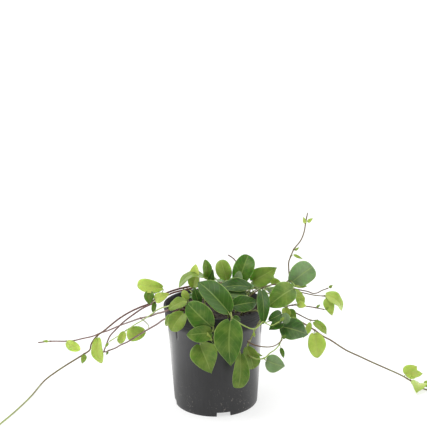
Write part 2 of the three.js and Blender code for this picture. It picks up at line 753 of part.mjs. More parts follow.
/** The rings of a stalk from the stem to the blade's base. */
function stalkRings(leaf, axes, from) {
  const base = new THREE.Vector3(...leaf.base);
  const reach = from.distanceTo(base);
  const before = base.clone().addScaledVector(axes.along, -STALK_BEND * reach);
  const curve = new THREE.CubicBezierCurve3(from, from.clone().lerp(before, 0.5), before, base);
  const places = reach > LONG_STALK ? [0, 0.5, 1] : [0, 1];
  return places.map((t) => {
    const turn = new THREE.Quaternion().setFromUnitVectors(axes.along, curve.getTangent(t));
    const across = axes.across.clone().applyQuaternion(turn);
    const up = axes.up.clone().applyQuaternion(turn);
    return stalkRing(curve.getPoint(t), across, up);
  });
}

/** A closed body over rings that have the same number of points each. */
function loft(rings) {
  const count = rings[0].length;
  const triangles = [];
  for (let ring = 0; ring < rings.length - 1; ring += 1) {
    for (let i = 0; i < count; i += 1) {
      const a = ring * count + i;
      const b = ring * count + ((i + 1) % count);
      triangles.push(a, b, b + count, a, b + count, a + count);
    }
  }
  const last = (rings.length - 1) * count;
  for (let i = 1; i < count - 1; i += 1) {
    triangles.push(0, i + 1, i, last, last + i, last + i + 1);
  }
  const geometry = new THREE.BufferGeometry().setFromPoints(rings.flat());
  geometry.setIndex(triangles);
  return toSolid(geometry);
}

/** One leaf: its stalk and its thin, folded and arched blade as one closed body. */
function makeLeaf(leaf, from) {
  const axes = leafAxes(leaf);
  const rows = [...bladeRows(axes.length), 1];
  return loft([
    ...stalkRings(leaf, axes, from),
    ...rows.map((v) => bladeRing(leaf, axes, v)),
  ]);
}

/** One leafy stem: its shoots and leaves joined into one solid. */
function makeSpray(spray) {
  let solid = null;
  const join = (piece) => {
    solid = solid ? solid.add(piece) : piece;
  };
  for (const shoot of spray.shoots) {
    const points = shoot.path.map((point) => new THREE.Vector3(...point));
    join(makeShoot(shoot));
    for (const leaf of shoot.leaves) {
      join(makeLeaf(leaf, points[leaf.at - 1]));
    }
  }
  return part(spray.name, toGeometry(withoutSlivers(solid)), spray.colour, 0.5);
}

// Back shoots.

/** A number that chance adds to the least of its range. */
function between(range, draw) {
  return range.least + range.chance * draw();
}

/** A leaf of a back shoot on one side of it, with small differences from its twins. */
function backLeaf(node, side, place, outward, sideways, hanging, draw) {
  const kind = hanging ? HANGING_LEAF : LEANING_LEAF;
  const way = outward.clone().multiplyScalar(kind.outward)
    .addScaledVector(sideways, side * (kind.sideways + BACK_LEAF_CHANCE.sideways * draw()));
  way.z = -kind.drop - BACK_LEAF_CHANCE.drop * draw();
  way.normalize();
  const length = BACK_LEAF_LENGTH * between(BACK_SIZE, draw);
  const base = place.clone()
    .addScaledVector(way, BACK_STALK.along)
    .addScaledVector(outward, BACK_STALK.outward);
  const tip = base.clone().addScaledVector(way, length);
  return {
    at: node,
    base: base.toArray(),
    tip: tip.toArray(),
    width: BACK_LEAF_WIDTH * between(BACK_SIZE, draw),
    face: [outward.x, outward.y, kind.faceUp],
    blunt: between(BACK_BLUNT, draw),
  };
}

/** One back shoot, turned to its angle about the pot's axis. */
function backSpray(shoot, index, draw) {
  const turn = radians(shoot.angle);
  const outward = new THREE.Vector3(Math.cos(turn), Math.sin(turn), 0);
  const sideways = new THREE.Vector3(-Math.sin(turn), Math.cos(turn), 0);
  const path = shoot.path
    .map(([radius, height]) => [radius * outward.x, radius * outward.y, height]);
  const leaves = shoot.nodes.flatMap((node) => [-1, 1].map((side) => {
    const place = new THREE.Vector3(...path[node - 1]);
    return backLeaf(node, side, place, outward, sideways, shoot.hanging, draw);
  }));
  const root = [BACK_ROOT_RADIUS * outward.x, BACK_ROOT_RADIUS * outward.y];
  return {
    name: `stem_back_${index + 1}`,
    colour: LEAF_COLOUR,
    shoots: [{ root, radius: BACK_STEM_RADIUS, steps: BACK_STEM_STEPS, path, leaves }],
  };
}

// Assembly.

const draw = numberRow(BACK_SEED);
const sprays = [...SPRAYS, ...BACK_SHOOTS.map((shoot, i) => backSpray(shoot, i, draw))];

const plant = new THREE.Group();
plant.add(makePot());
plant.add(makeSoil(sprays));
for (const spray of sprays) {
  plant.add(makeSpray(spray));
}

export default plant;
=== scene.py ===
# %% [markdown]
# # A greater periwinkle in its nursery pot
#
# This lesson dresses a young climbing plant in a round plastic pot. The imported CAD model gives
# the frame: where each stem, leaf and wall is. Here every one of them is made again as a finer
# surface, worked out with numpy in the same place, and given its finish.

from math import pi, radians

import bpy
import numpy as np
from mathutils import Matrix


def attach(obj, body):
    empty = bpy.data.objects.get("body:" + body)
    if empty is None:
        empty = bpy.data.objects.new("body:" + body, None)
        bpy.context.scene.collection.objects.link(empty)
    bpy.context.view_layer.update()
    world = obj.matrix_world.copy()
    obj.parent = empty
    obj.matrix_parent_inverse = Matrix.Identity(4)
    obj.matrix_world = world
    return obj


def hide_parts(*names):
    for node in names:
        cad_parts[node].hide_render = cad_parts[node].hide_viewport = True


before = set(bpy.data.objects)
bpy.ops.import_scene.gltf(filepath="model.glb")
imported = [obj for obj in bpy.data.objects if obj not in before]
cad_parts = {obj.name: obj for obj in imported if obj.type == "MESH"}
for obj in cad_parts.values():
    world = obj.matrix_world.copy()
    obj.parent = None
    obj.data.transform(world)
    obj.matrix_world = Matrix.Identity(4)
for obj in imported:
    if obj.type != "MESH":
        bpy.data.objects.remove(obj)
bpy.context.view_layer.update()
MM = 0.001
print("nodes:", len(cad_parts))

# %% [markdown]
# ## The camera
#
# The plant was seen from a little above its rim, from about a metre away. A long lens keeps the
# pot's sides straight, and a very small roll follows the tilt of the picture.

# %% The camera
CAMERA_PLACE = (0.0, -1.104, 0.522)
CAMERA_LENS = 63.2
CAMERA_DOWN = 11.5
CAMERA_ROLL = -0.8

camera_data = bpy.data.cameras.new("camera")
camera_data.lens = CAMERA_LENS
camera_data.sensor_width = 36.0
camera = bpy.data.objects.new("camera", camera_data)
bpy.context.scene.collection.objects.link(camera)
camera.matrix_world = (
    Matrix.Translation(CAMERA_PLACE)
    @ Matrix.Rotation(radians(90 - CAMERA_DOWN), 4, "X")
    @ Matrix.Rotation(radians(CAMERA_ROLL), 4, "Z")
)
bpy.context.scene.camera = camera
print("camera at", CAMERA_PLACE)

# %% [markdown]
# ## From numbers to a mesh
#
# Each surface below is a grid of points: rows go along it and columns go across or round it.
# One helper joins the grids of a piece into one mesh. It could be done with bmesh, a vertex at a
# time, but foreach_set takes whole arrays and stays quick for a plant with a hundred leaves.

# %% Grids and rings
def grid_faces(rows, columns, closed):
    """The four-sided faces of a grid of points. A closed grid joins its last column to its first."""
    row, column = np.meshgrid(np.arange(rows - 1), np.arange(columns - (not closed)), indexing="ij")
    beside = (column + 1) % columns
    corners = [row * columns + column, row * columns + beside,
               (row + 1) * columns + beside, (row + 1) * columns + column]
    return np.stack([c.ravel() for c in corners], 1)


def cap_faces(first, columns):
    """Four-sided faces that close a ring, made of pairs on both sides of its middle line."""
    half = columns // 2
    j = np.arange(half - 1)
    return np.stack([first + j, first + j + 1, first + columns - 2 - j, first + columns - 1 - j], 1)


def signed_volume(points, faces):
    """Sum over the faces of corner . (edge x edge): above zero when the faces point outwards."""
    a, b, c, d = (points[faces[:, k]] for k in range(4))
    both = np.cross(b - a, c - a) + np.cross(c - a, d - a)
    return (a * both).sum()


def closed_tube(rings, **values):
    """A closed body over rings of points (rows x columns x 3), with one value a point for each name."""
    rows, columns = rings.shape[:2]
    points = rings.reshape(-1, 3)
    faces = np.concatenate([grid_faces(rows, columns, True), cap_faces(0, columns)[:, ::-1],
                            cap_faces((rows - 1) * columns, columns)])
    middle = points - points.mean(0)
    if signed_volume(middle, faces) < 0:
        faces = faces[:, ::-1]
    spread = {name: np.broadcast_to(v, (rows, columns)).reshape(-1) for name, v in values.items()}
    return points, faces, spread


print("a square grid of 4 by 4 points has", len(grid_faces(4, 4, False)), "faces")

# %% A piece from its bodies
def make_piece(name, bodies, material, node):
    """One object from closed bodies. It stands for its CAD node, which it hides, and hangs from the root
    body.
    """
    starts = np.cumsum([0] + [len(points) for points, _, _ in bodies])
    points = np.concatenate([b[0] for b in bodies])
    faces = np.concatenate([b[1] + s for b, s in zip(bodies, starts)])
    mesh = bpy.data.meshes.new(name)
    mesh.vertices.add(len(points))
    mesh.vertices.foreach_set("co", points.astype(np.float32).ravel())
    mesh.loops.add(faces.size)
    mesh.loops.foreach_set("vertex_index", faces.astype(np.int32).ravel())
    mesh.polygons.add(len(faces))
    mesh.polygons.foreach_set("loop_start", np.arange(0, faces.size, 4, dtype=np.int32))
    mesh.update(calc_edges=True)
    mesh.validate()
    mesh.polygons.foreach_set("use_smooth", np.ones(len(mesh.polygons), bool))
    for key in bodies[0][2]:
        layer = mesh.attributes.new(key, "FLOAT", "POINT")
        values = np.concatenate([b[2][key] for b in bodies])
        layer.data.foreach_set("value", values.astype(np.float32))
    mesh.materials.append(material)
    piece = bpy.data.objects.new(name, mesh)
    bpy.context.scene.collection.objects.link(piece)
    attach(piece, "root")
    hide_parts(node)
    return piece


# %% [markdown]
# ## Effects that several materials share
#
# Real surfaces are never one flat colour. Three small node groups give masks that the materials
# below place with their own values: a slow mottle, fine specks such as dust, and streaks along
# one direction. A group is built once, so a change to it reaches every material.

# %% Helpers for nodes
def node(tree, kind, **settings):
    """One node of a tree. Names that end in _in set a socket, the others set a property."""
    made = tree.nodes.new(kind)
    for key, value in settings.items():
        if key.endswith("_in"):
            made.inputs[key[:-3].replace("_", " ")].default_value = value
        else:
            setattr(made, key, value)
    return made


def math(tree, operation, first, second=0.0, third=0.0):
    """The output of a Math node. Each value is a number or another node's output."""
    made = tree.nodes.new("ShaderNodeMath")
    made.operation = operation
    for socket, value in zip(made.inputs, (first, second, third)):
        if isinstance(value, (int, float)):
            socket.default_value = value
        else:
            tree.links.new(value, socket)
    return made.outputs[0]


def mix_colour(tree, factor, first, second):
    """The output of a colour mix. Colours are outputs or (red, green, blue)."""
    made = tree.nodes.new("ShaderNodeMix")
    made.data_type = "RGBA"
    for socket, value in ((made.inputs[0], factor), (made.inputs[6], first), (made.inputs[7], second)):
        if isinstance(value, (int, float)):
            socket.default_value = value
        elif isinstance(value, tuple):
            socket.default_value = (*value, 1.0)
        else:
            tree.links.new(value, socket)
    return made.outputs[2]


def scaled(tree, value, factor, offset=0.0):
    """A value times a factor, plus an offset. Both may be another node's output."""
    return math(tree, "MULTIPLY_ADD", value, factor, offset)


def ramp(tree, value, low, high):
    """A value stretched so that low gives 0 and high gives 1, and held between them."""
    made = tree.nodes.new("ShaderNodeMapRange")
    made.inputs[1].default_value = low
    made.inputs[2].default_value = high
    tree.links.new(value, made.inputs[0])
    return made.outputs[0]


def axes_of(tree, coordinates):
    """The x, y and z outputs of the texture coordinates of this kind."""
    apart = node(tree, "ShaderNodeSeparateXYZ")
    tree.links.new(node(tree, "ShaderNodeTexCoord").outputs[coordinates], apart.inputs[0])
    return apart.outputs


print("node helpers are ready")

# %% Three shared effects
def new_group(name, **inputs):
    """A shader group with number inputs and one output, Mask. Gives it with its two ends."""
    group = bpy.data.node_groups.new(name, "ShaderNodeTree")
    for label, default in inputs.items():
        socket = group.interface.new_socket(label, in_out="INPUT", socket_type="NodeSocketFloat")
        socket.default_value = default
    group.interface.new_socket("Mask", in_out="OUTPUT", socket_type="NodeSocketFloat")
    return group, group.nodes.new("NodeGroupInput"), group.nodes.new("NodeGroupOutput")


mottle, ends_in, ends_out = new_group("mottle", Scale=60.0, Contrast=0.5)
place = node(mottle, "ShaderNodeTexCoord")
noise = node(mottle, "ShaderNodeTexNoise", Detail_in=3.0, Roughness_in=0.55)
mottle.links.new(place.outputs["Object"], noise.inputs["Vector"])
mottle.links.new(ends_in.outputs["Scale"], noise.inputs["Scale"])
centred = math(mottle, "SUBTRACT", noise.outputs[0], 0.5)
mottle.links.new(math(mottle, "MULTIPLY", centred, ends_in.outputs["Contrast"]), ends_out.inputs["Mask"])

specks, ends_in, ends_out = new_group("specks", Scale=900.0, Amount=0.3)
place = node(specks, "ShaderNodeTexCoord")
fine = node(specks, "ShaderNodeTexNoise", Detail_in=2.0, Roughness_in=0.7)
wide = node(specks, "ShaderNodeTexNoise", Scale_in=30.0, Detail_in=2.0)
specks.links.new(place.outputs["Object"], fine.inputs["Vector"])
specks.links.new(place.outputs["Object"], wide.inputs["Vector"])
specks.links.new(ends_in.outputs["Scale"], fine.inputs["Scale"])
sharp = ramp(specks, fine.outputs[0], 0.62, 0.70)
patchy = ramp(specks, wide.outputs[0], 0.38, 0.62)
both = math(specks, "MULTIPLY", sharp, patchy)
specks.links.new(math(specks, "MULTIPLY", both, ends_in.outputs["Amount"]), ends_out.inputs["Mask"])

streaks, ends_in, ends_out = new_group("streaks", Scale=400.0, Stretch=0.1)
x, y, z = axes_of(streaks, "Object")
longer = node(streaks, "ShaderNodeCombineXYZ")
streaks.links.new(x, longer.inputs[0])
streaks.links.new(y, longer.inputs[1])
streaks.links.new(math(streaks, "MULTIPLY", z, ends_in.outputs["Stretch"]), longer.inputs[2])
noise = node(streaks, "ShaderNodeTexNoise", Detail_in=4.0, Roughness_in=0.6)
streaks.links.new(longer.outputs[0], noise.inputs["Vector"])
streaks.links.new(ends_in.outputs["Scale"], noise.inputs["Scale"])
streaks.links.new(math(streaks, "SUBTRACT", noise.outputs[0], 0.5), ends_out.inputs["Mask"])
print("groups:", mottle.name, specks.name, streaks.name)

# %% Helpers for materials
def effect(tree, group, **values):
    """One of the groups above, placed in a material with its own values. Gives its mask."""
    made = tree.nodes.new("ShaderNodeGroup")
    made.node_tree = group
    for key, value in values.items():
        made.inputs[key].default_value = value
    return made.outputs["Mask"]


def new_material(name, roughness):
    """A material with a Principled BSDF, and its tree."""
    material = bpy.data.materials.new(name)
    material.use_nodes = True
    shader = material.node_tree.nodes["Principled BSDF"]
    shader.inputs["Roughness"].default_value = roughness
    return material, material.node_tree, shader


def bump(tree, shader, height, strength, distance):
    """Fine relief in a material from a height, in metres at full strength."""
    made = node(tree, "ShaderNodeBump", Strength_in=strength, Distance_in=distance)
    tree.links.new(height, made.inputs["Height"])
    tree.links.new(made.outputs[0], shader.inputs["Normal"])


def attribute(tree, name):
    """A number that each point of the mesh carries under this name."""
    return node(tree, "ShaderNodeAttribute", attribute_name=name).outputs["Fac"]


print("material helpers are ready")

# %% [markdown]
# ## The pot
#
# The pot is thin black plastic, moulded in one piece: a tapered wall, a wider collar with faint
# rings and a rolled lip, a base on a short skirt with four drain notches, and three narrow slots
# under the collar. A lathe could turn it, but a grid of height against angle also takes the
# notches and slots, which a plain turning can't.

# %% Pot profile
FOOT_RADIUS = 65.0
SKIRT_INSIDE = 62.0
WALL_HEIGHT = 134.0
WALL_FLARE = 9.0
WALL_ROWS = 46
COLLAR_RADIUS = 76.4
COLLAR_LOW = 135.3
COLLAR_TALL = 16.4
COLLAR_FLARE = 0.8
COLLAR_ROWS = 30
RING_COUNT = 4
RING_RELIEF = 0.42


def pot_profile():
    """Radius and height from the middle of the underside, round the outside and back inside.

    The wall is a straight taper. The collar adds relief sin^2 (pi n t) for its n rings.
    """
    wall = np.linspace(0, 1, WALL_ROWS)
    collar = np.linspace(0, 1, COLLAR_ROWS)
    under = np.array([[0.6, 0], [12, 0], [12.6, 4], [13, 8], [38, 8], [62.6, 8], [63, 7.4], [63, 0.4],
                      [63.4, 0], [64.6, 0]])
    outer = np.stack([FOOT_RADIUS + WALL_FLARE * wall, WALL_HEIGHT * wall], 1)[1:]
    outer[0] = [65.05, 0.6]
    rings = RING_RELIEF * np.sin(pi * RING_COUNT * collar) ** 2
    band = np.stack([COLLAR_RADIUS + COLLAR_FLARE * collar + rings, COLLAR_LOW + COLLAR_TALL * collar], 1)
    step = np.array([[74.9, 134.1], [75.9, 134.5]])
    lip = np.array([[77.6, 151.9], [78.6, 152.2], [79, 153], [79, 156.4], [78.7, 157.4], [77.9, 158],
                    [76.4, 158], [75.6, 157.6], [75.3, 156.6]])
    inner = np.array([[75, 150], [74.6, 141], [74.5, 135.4], [72.2, 133], [69.3, 90], [66.4, 50],
                      [63.6, 12], [62.6, 10.2], [60, 10], [30, 10], [0.6, 10]])
    return np.concatenate([under, outer, step, band, lip, inner])


print("pot profile points:", len(pot_profile()))

# %% Notches, slots and the whole pot
NOTCH_ANGLES = (-80.0, 10.0, 100.0, 190.0)
NOTCH_HALF_ANGLE = 9.3
NOTCH_EDGE = 0.15
NOTCH_HEIGHT = 6.4
SLOT_ANGLES = (-141.0, -21.0, 99.0)
SLOT_HALF_ANGLE = 0.9
SLOT_EDGE = 0.2
SLOT_DEPTH = 1.1
SLOT_LOW, SLOT_HIGH = 117.0, 132.5
EVEN_STEP = 2.0
LEAST_STEP = 0.35
OUTSIDE_ROWS = (9, 60)


def side_angles(centres, half, edge):
    """A pair of angles at both sides of each cut, half away from its middle, give or take edge."""
    return [a + s * (half + d) for a in centres for s in (-1, 1) for d in (-edge, edge)]


def angle_steps():
    """Angles round the pot in degrees: even steps, with pairs at each notch's and slot's sides."""
    even = np.arange(-180, 180, EVEN_STEP)
    notches = side_angles(NOTCH_ANGLES, NOTCH_HALF_ANGLE, NOTCH_EDGE)
    slots = side_angles(SLOT_ANGLES, SLOT_HALF_ANGLE, SLOT_EDGE)
    every = (np.array([*notches, *slots]) + 180) % 360 - 180
    far = np.abs(even[:, None] - every[None, :]).min(1) > LEAST_STEP
    return np.sort(np.concatenate([even[far], every]))


def near_angle(angles, centres, half):
    """1 within half of one of the centres, in degrees, and 0 elsewhere."""
    away = np.abs((angles[:, None] - np.array(centres)[None, :] + 180) % 360 - 180)
    return (away.min(1) < half).astype(float)


def pot_rings():
    """Points at (r cos a, r sin a, z). In a notch z stays above its top, and in a slot r is less."""
    profile, angles = pot_profile(), angle_steps()
    radius, height = (profile[:, k][:, None] for k in range(2))
    skirt = (radius > SKIRT_INSIDE) & (height < NOTCH_HEIGHT)
    notch = near_angle(angles, NOTCH_ANGLES, NOTCH_HALF_ANGLE)[None, :]
    lifted = np.where(skirt, np.maximum(height, NOTCH_HEIGHT * notch), height)
    row = np.arange(len(profile))[:, None]
    outside = (row > OUTSIDE_ROWS[0]) & (row < OUTSIDE_ROWS[1])
    slot = near_angle(angles, SLOT_ANGLES, SLOT_HALF_ANGLE)[None, :]
    inside_slot = outside & (height > SLOT_LOW) & (height < SLOT_HIGH)
    pulled = radius - SLOT_DEPTH * inside_slot * slot
    turn = np.radians(angles)[None, :]
    return MM * np.stack([pulled * np.cos(turn), pulled * np.sin(turn), lifted + 0 * turn], 2)


rings = pot_rings()
print("pot grid:", rings.shape[:2])

# %% [markdown]
# ## The pot's finish
#
# Black polypropylene is a soft, dark grey where it meets the light. It scuffs along its height,
# the collar is handled most and is duller, and dried soil leaves pale specks near the foot. So the
# colour is never pure black, and the roughness changes with the streaks and the height.

# %% Pot material and piece
POT_BLACK = (0.009, 0.009, 0.010)
POT_GREY = (0.018, 0.018, 0.020)
DUST = (0.32, 0.29, 0.25)

DUST_TOP, DUST_FULL = 0.055, 0.004
COLLAR_START, COLLAR_FULL = 0.130, 0.136
WALL_ROUGHNESS = 0.32
COLLAR_ROUGHER = 0.42

pot_finish, tree, shader = new_material("pot_plastic", WALL_ROUGHNESS)
height = axes_of(tree, "Object")[2]
scuff = effect(tree, streaks, Scale=260.0, Stretch=0.06)
cloud = effect(tree, mottle, Scale=38.0, Contrast=1.2)
worn = scaled(tree, scuff, 1.6, cloud)
grey = mix_colour(tree, ramp(tree, worn, -0.25, 0.55), POT_BLACK, POT_GREY)
near_foot = scaled(tree, ramp(tree, height, DUST_TOP, DUST_FULL), 0.85, 0.06)
dusty = math(tree, "MULTIPLY", effect(tree, specks, Scale=330.0, Amount=0.75), near_foot)
tree.links.new(mix_colour(tree, dusty, grey, DUST), shader.inputs["Base Color"])
rough = scaled(tree, ramp(tree, scuff, -0.3, 0.3), 0.12, WALL_ROUGHNESS)
rough = scaled(tree, ramp(tree, height, COLLAR_START, COLLAR_FULL), COLLAR_ROUGHER, rough)
tree.links.new(scaled(tree, dusty, 0.4, rough), shader.inputs["Roughness"])
bump(tree, shader, effect(tree, mottle, Scale=700.0, Contrast=1.0), 0.25, 0.0004)

pot = make_piece("pot_shell", [closed_tube(rings)], pot_finish, "pot")
print("pot faces:", len(pot.data.polygons))

# %% [markdown]
# ## The soil
#
# Peat compost is dark, crumbly and almost never flat. Its top is a height over a disc: a low dome
# with three sizes of lumps. Loose crumbs lie on it, each a small ball with few faces, because a
# shape that is repeated hundreds of times has to stay light.

# %% Soil shape
SOIL_RADIUS = 74.1
SOIL_LEVEL = 143.4
DOME = 2.0
SOIL_SIDES = 180
SOIL_RINGS = 62
SOIL_CENTRE = 0.006
CRUMBS = 420
CRUMB_MARGIN = 4.0
CRUMB_SIDES = 6
CRUMB_TOP = 0.92
chance = np.random.default_rng(11)


def lumps(x, y):
    """Sum of three crossed waves, each finer and lower than the last, in millimetres."""
    broad = np.sin(x / 9.1 + 0.6) * np.cos(y / 8.3 - 0.4)
    middle = np.sin(x / 3.7 + 1.3 * np.sin(y / 5.1)) * np.cos(y / 3.3)
    fine = np.sin(x / 1.3 + y / 1.9) * np.cos(y / 1.1 - x / 2.3)
    return 0.9 * broad + 0.6 * middle + 0.35 * fine


def soil_height(x, y):
    """A dome, level + height (1 - r^2), with lumps that fade as 1 - r^8 towards the wall."""
    out = np.clip(np.hypot(x, y) / SOIL_RADIUS, 0, 1)
    return SOIL_LEVEL + DOME * (1 - out ** 2) + lumps(x, y) * (1 - out ** 8)


def soil_rings():
    """Rings from the middle of the underside, up the side and in over the top to its middle."""
    turn = np.linspace(0, 2 * pi, SOIL_SIDES, endpoint=False)[None, :]
    lower = np.array([[0.6, 10.4], [40, 10.4], [63, 10.6], [66.6, 60], [71.6, 132.6], [74.1, 135.8]])
    inward = np.linspace(1, SOIL_CENTRE, SOIL_RINGS)[:, None]
    radius = np.concatenate([lower[:, :1], SOIL_RADIUS * inward])
    x, y = radius * np.cos(turn), radius * np.sin(turn)
    z = np.concatenate([lower[:, 1:] + 0 * turn, soil_height(x, y)[len(lower):]])
    return MM * np.stack([x, y, z], 2)


def crumb_rings(centre, size, shape):
    """A ball of 6 rings of 6 points, sqrt(1 - up^2) wide, stretched along three axes by shape."""
    up = np.linspace(-CRUMB_TOP, CRUMB_TOP, CRUMB_SIDES)[:, None]
    turn = np.linspace(0, 2 * pi, CRUMB_SIDES, endpoint=False)[None, :]
    round_it = np.sqrt(1 - up ** 2)
    ball = np.stack([round_it * np.cos(turn), round_it * np.sin(turn), up + 0 * turn], 2)
    return MM * (centre + size * ball * shape)


far = (SOIL_RADIUS - CRUMB_MARGIN) * np.sqrt(chance.random(CRUMBS))
around = 2 * pi * chance.random(CRUMBS)
spots = np.stack([far * np.cos(around), far * np.sin(around)], 1)
# The crumbs' sizes go from 0.5 to 2 mm, and the power keeps most of them small.
sizes = 0.5 + 1.5 * chance.random(CRUMBS) ** 2.5
spots = np.column_stack([spots, soil_height(spots[:, 0], spots[:, 1]) + 0.35 * sizes])
shapes = 0.6 + 0.8 * chance.random((CRUMBS, 3))
crumbs = [closed_tube(crumb_rings(c, s, f)) for c, s, f in zip(spots, sizes, shapes)]
print("crumbs:", len(crumbs))

# %% [markdown]
# ## The soil's finish
#
# Damp peat is almost black and quite dull. Slow dark and lighter patches come from the mottle, and
# the specks, set to a middle size, stand for pale bits of fibre. The crumbs share this material.

# %% Soil material and piece
PEAT_WET = (0.010, 0.006, 0.004)
PEAT_DRY = (0.045, 0.028, 0.018)
FIBRE = (0.22, 0.15, 0.09)

soil_finish, tree, shader = new_material("peat", 0.92)
patches = ramp(tree, effect(tree, mottle, Scale=300.0, Contrast=1.0), -0.25, 0.3)
damp = mix_colour(tree, patches, PEAT_WET, PEAT_DRY)
fibres = effect(tree, specks, Scale=700.0, Amount=0.5)
tree.links.new(mix_colour(tree, fibres, damp, FIBRE), shader.inputs["Base Color"])
bump(tree, shader, effect(tree, mottle, Scale=1400.0, Contrast=1.0), 0.8, 0.0008)
soil = make_piece("soil_top", [closed_tube(soil_rings()), *crumbs], soil_finish, "soil")
print("soil faces:", len(soil.data.polygons))

# %% [markdown]
# ## The curve of a stem
#
# A stem leaves its hole straight up, then leans, arches over the rim and hangs. A few listed points
# give its route, and a smooth curve passes through all of them without overshooting.
# The same curve shapes the CAD stems, so the finer ones lie in the same place.

# %% A smooth curve
def smooth_curve(points, spacing):
    """A cubic curve from point to point, read again at even steps of its length.

    Its direction at a point is that of the parabola through the point and its two neighbours, at
    times that grow by the root of each gap. That keeps it from looping where gaps are uneven.
    """
    p = np.asarray(points, float)
    ends = np.concatenate([[2 * p[0] - p[1]], p, [2 * p[-1] - p[-2]]])
    t = np.linspace(0, len(p) - 1, 40 * (len(p) - 1) + 1)
    k = np.minimum(t.astype(int), len(p) - 2)
    w = (t - k)[:, None]
    a, b, c, d = (ends[k + i] for i in range(4))
    ab, bc, cd = (np.maximum(np.linalg.norm(q - r, axis=1, keepdims=True) ** 0.5, 1e-4)
                  for q, r in ((b, a), (c, b), (d, c)))
    out = ((b - a) / ab - (c - a) / (ab + bc) + (c - b) / bc) * bc
    into = ((c - b) / bc - (d - b) / (bc + cd) + (d - c) / cd) * bc
    curve = b + out * w + (3 * (c - b) - 2 * out - into) * w ** 2 + (2 * (b - c) + out + into) * w ** 3
    gone = np.concatenate([[0], np.cumsum(np.linalg.norm(np.diff(curve, axis=0), axis=1))])
    even = np.linspace(0, gone[-1], max(6, int(gone[-1] / spacing)))
    return np.stack([np.interp(even, gone, curve[:, i]) for i in range(3)], 1), even


line, steps = smooth_curve([(0, 0, 0), (0, 0, 10), (5, 0, 20)], 2)
print("a test curve has", len(line), "points over", round(float(steps[-1]), 1), "mm")

# %% A tube round a curve
def frames(curve):
    """Two directions across a curve, taken from the way it bends least, so they don't twist."""
    along = np.gradient(curve, axis=0)
    along /= np.linalg.norm(along, axis=1, keepdims=True)
    least = np.linalg.svd(along, full_matrices=False)[2][-1]
    side = least - along * (along @ least)[:, None]
    side /= np.linalg.norm(side, axis=1, keepdims=True) + 1e-12
    return side, np.cross(along, side)


def tube_rings(curve, radius, sides):
    """Rings of the curve's radius round it: centre + r (side cos a + other sin a)."""
    side, other = frames(curve)
    turn = np.linspace(0, 2 * pi, sides, endpoint=False)[None, :, None]
    ring = side[:, None] * np.cos(turn) + other[:, None] * np.sin(turn)
    return MM * (curve[:, None] + np.reshape(radius, (-1, 1, 1)) * ring)


print("a test tube has", tube_rings(line, np.ones(len(line)), 8).shape[:2], "points")

# %% The thickness of a stem
THINNING = 0.25
SWELLING = 0.38
SWELLING_HALF = 1.9


def stem_radius(even, length, radius, nodes):
    """r (1 - thinning s / length) (1 + swelling k), s along the stem.

    The k is a bell curve round each node.
    """
    knots = np.exp(-((even[:, None] - np.array(nodes)[None, :]) / SWELLING_HALF) ** 2).sum(1)
    return radius * (1 - THINNING * even / length) * (1 + SWELLING * np.minimum(knots, 1))


print("thickest at a node:", round(float(stem_radius(steps, steps[-1], 1.0, [10]).max()), 2), "mm")

# %% [markdown]
# ## One leaf
#
# A periwinkle leaf is egg-shaped with a rounded or heart-shaped base and a short tip. It folds a
# little at the midrib and arches along it. The midrib lies in a groove. Side veins curve forward
# to the margin, each a fine groove on a low ridge of the blade. All of that is one height over two
# numbers: u goes from -1 to 1 across the blade and v from 0 to 1 along it.

# %% Leaf outline and veins
BASE_ROUNDING = 0.45
TIP_DRAWN = 0.3
TIP_FROM, TIP_SPAN = 0.45, 0.3
VEINS = 6.5
VEIN_SWEEP, VEIN_CURVE = 0.30, 1.2
RIB_HALF, RIB_FADES = 0.07, 0.6
SIDE_VEIN_HALF, SIDE_VEIN_FADES = 0.13, 0.7
SIDE_VEIN_DEPTH = 0.55


def half_width(v, blunt):
    """(v / w)^0.45 ((1 - v) / (1 - w))^b, which is 1 at the widest place w = 0.45 / (0.45 + b).

    The tip of a leaf with a b above 0.45 is drawn out: its b grows by up to 0.3.
    """
    blunt = blunt + TIP_DRAWN * np.clip((blunt - TIP_FROM) / TIP_SPAN, 0, 1)
    widest = BASE_ROUNDING / (BASE_ROUNDING + blunt)
    return (v / widest) ** BASE_ROUNDING * ((1 - v) / (1 - widest)) ** blunt


def vein_relief(u, v):
    """How deep the veins' grooves are, and how high the ridges along the side veins.

    The midrib is a bell curve of u that fades to the tip. A side vein runs wherever
    veins (v - sweep |u|^curve) is whole. Its ridge falls evenly to 0 halfway to the next one.
    """
    midrib = np.exp(-(u / RIB_HALF) ** 2) * (1 - RIB_FADES * v)
    count = VEINS * (v - VEIN_SWEEP * np.abs(u) ** VEIN_CURVE)
    off = np.abs(count - np.round(count))
    side = np.exp(-(off / SIDE_VEIN_HALF) ** 2) * (1 - SIDE_VEIN_FADES * np.abs(u)) * (1 - v)
    return midrib + SIDE_VEIN_DEPTH * side, 1 - 2 * off


print("a blade is widest at", round(BASE_ROUNDING / (BASE_ROUNDING + 0.7), 2), "of its length")

# %% [markdown]
# ## The blade as a body
#
# A blade is a thin closed skin, so that it has an upper and a lower side. Its middle sheet is bent
# by one height: the arch, the fold, a wave that grows towards the margin, and the veins. Two skins
# lie just above and below it. A flat sheet with a Solidify modifier would be quicker to write, but
# then the midrib could not be thicker than the margin.

# %% The directions of a leaf
def leaf_directions(spec):
    """Along the leaf, across it and out of its upper side, with its length."""
    along = np.subtract(spec["tip"], spec["base"]).astype(float)
    length = np.linalg.norm(along)
    along /= length
    up = np.array(spec["face"], float)
    up -= along * (up @ along)
    up /= np.linalg.norm(up)
    return along, np.cross(along, up), up, length


flat_leaf = dict(base=(0, 0, 0), tip=(0, 40, 0), face=(0, 0, 1))
print("a flat leaf is", leaf_directions(flat_leaf)[3], "mm long")

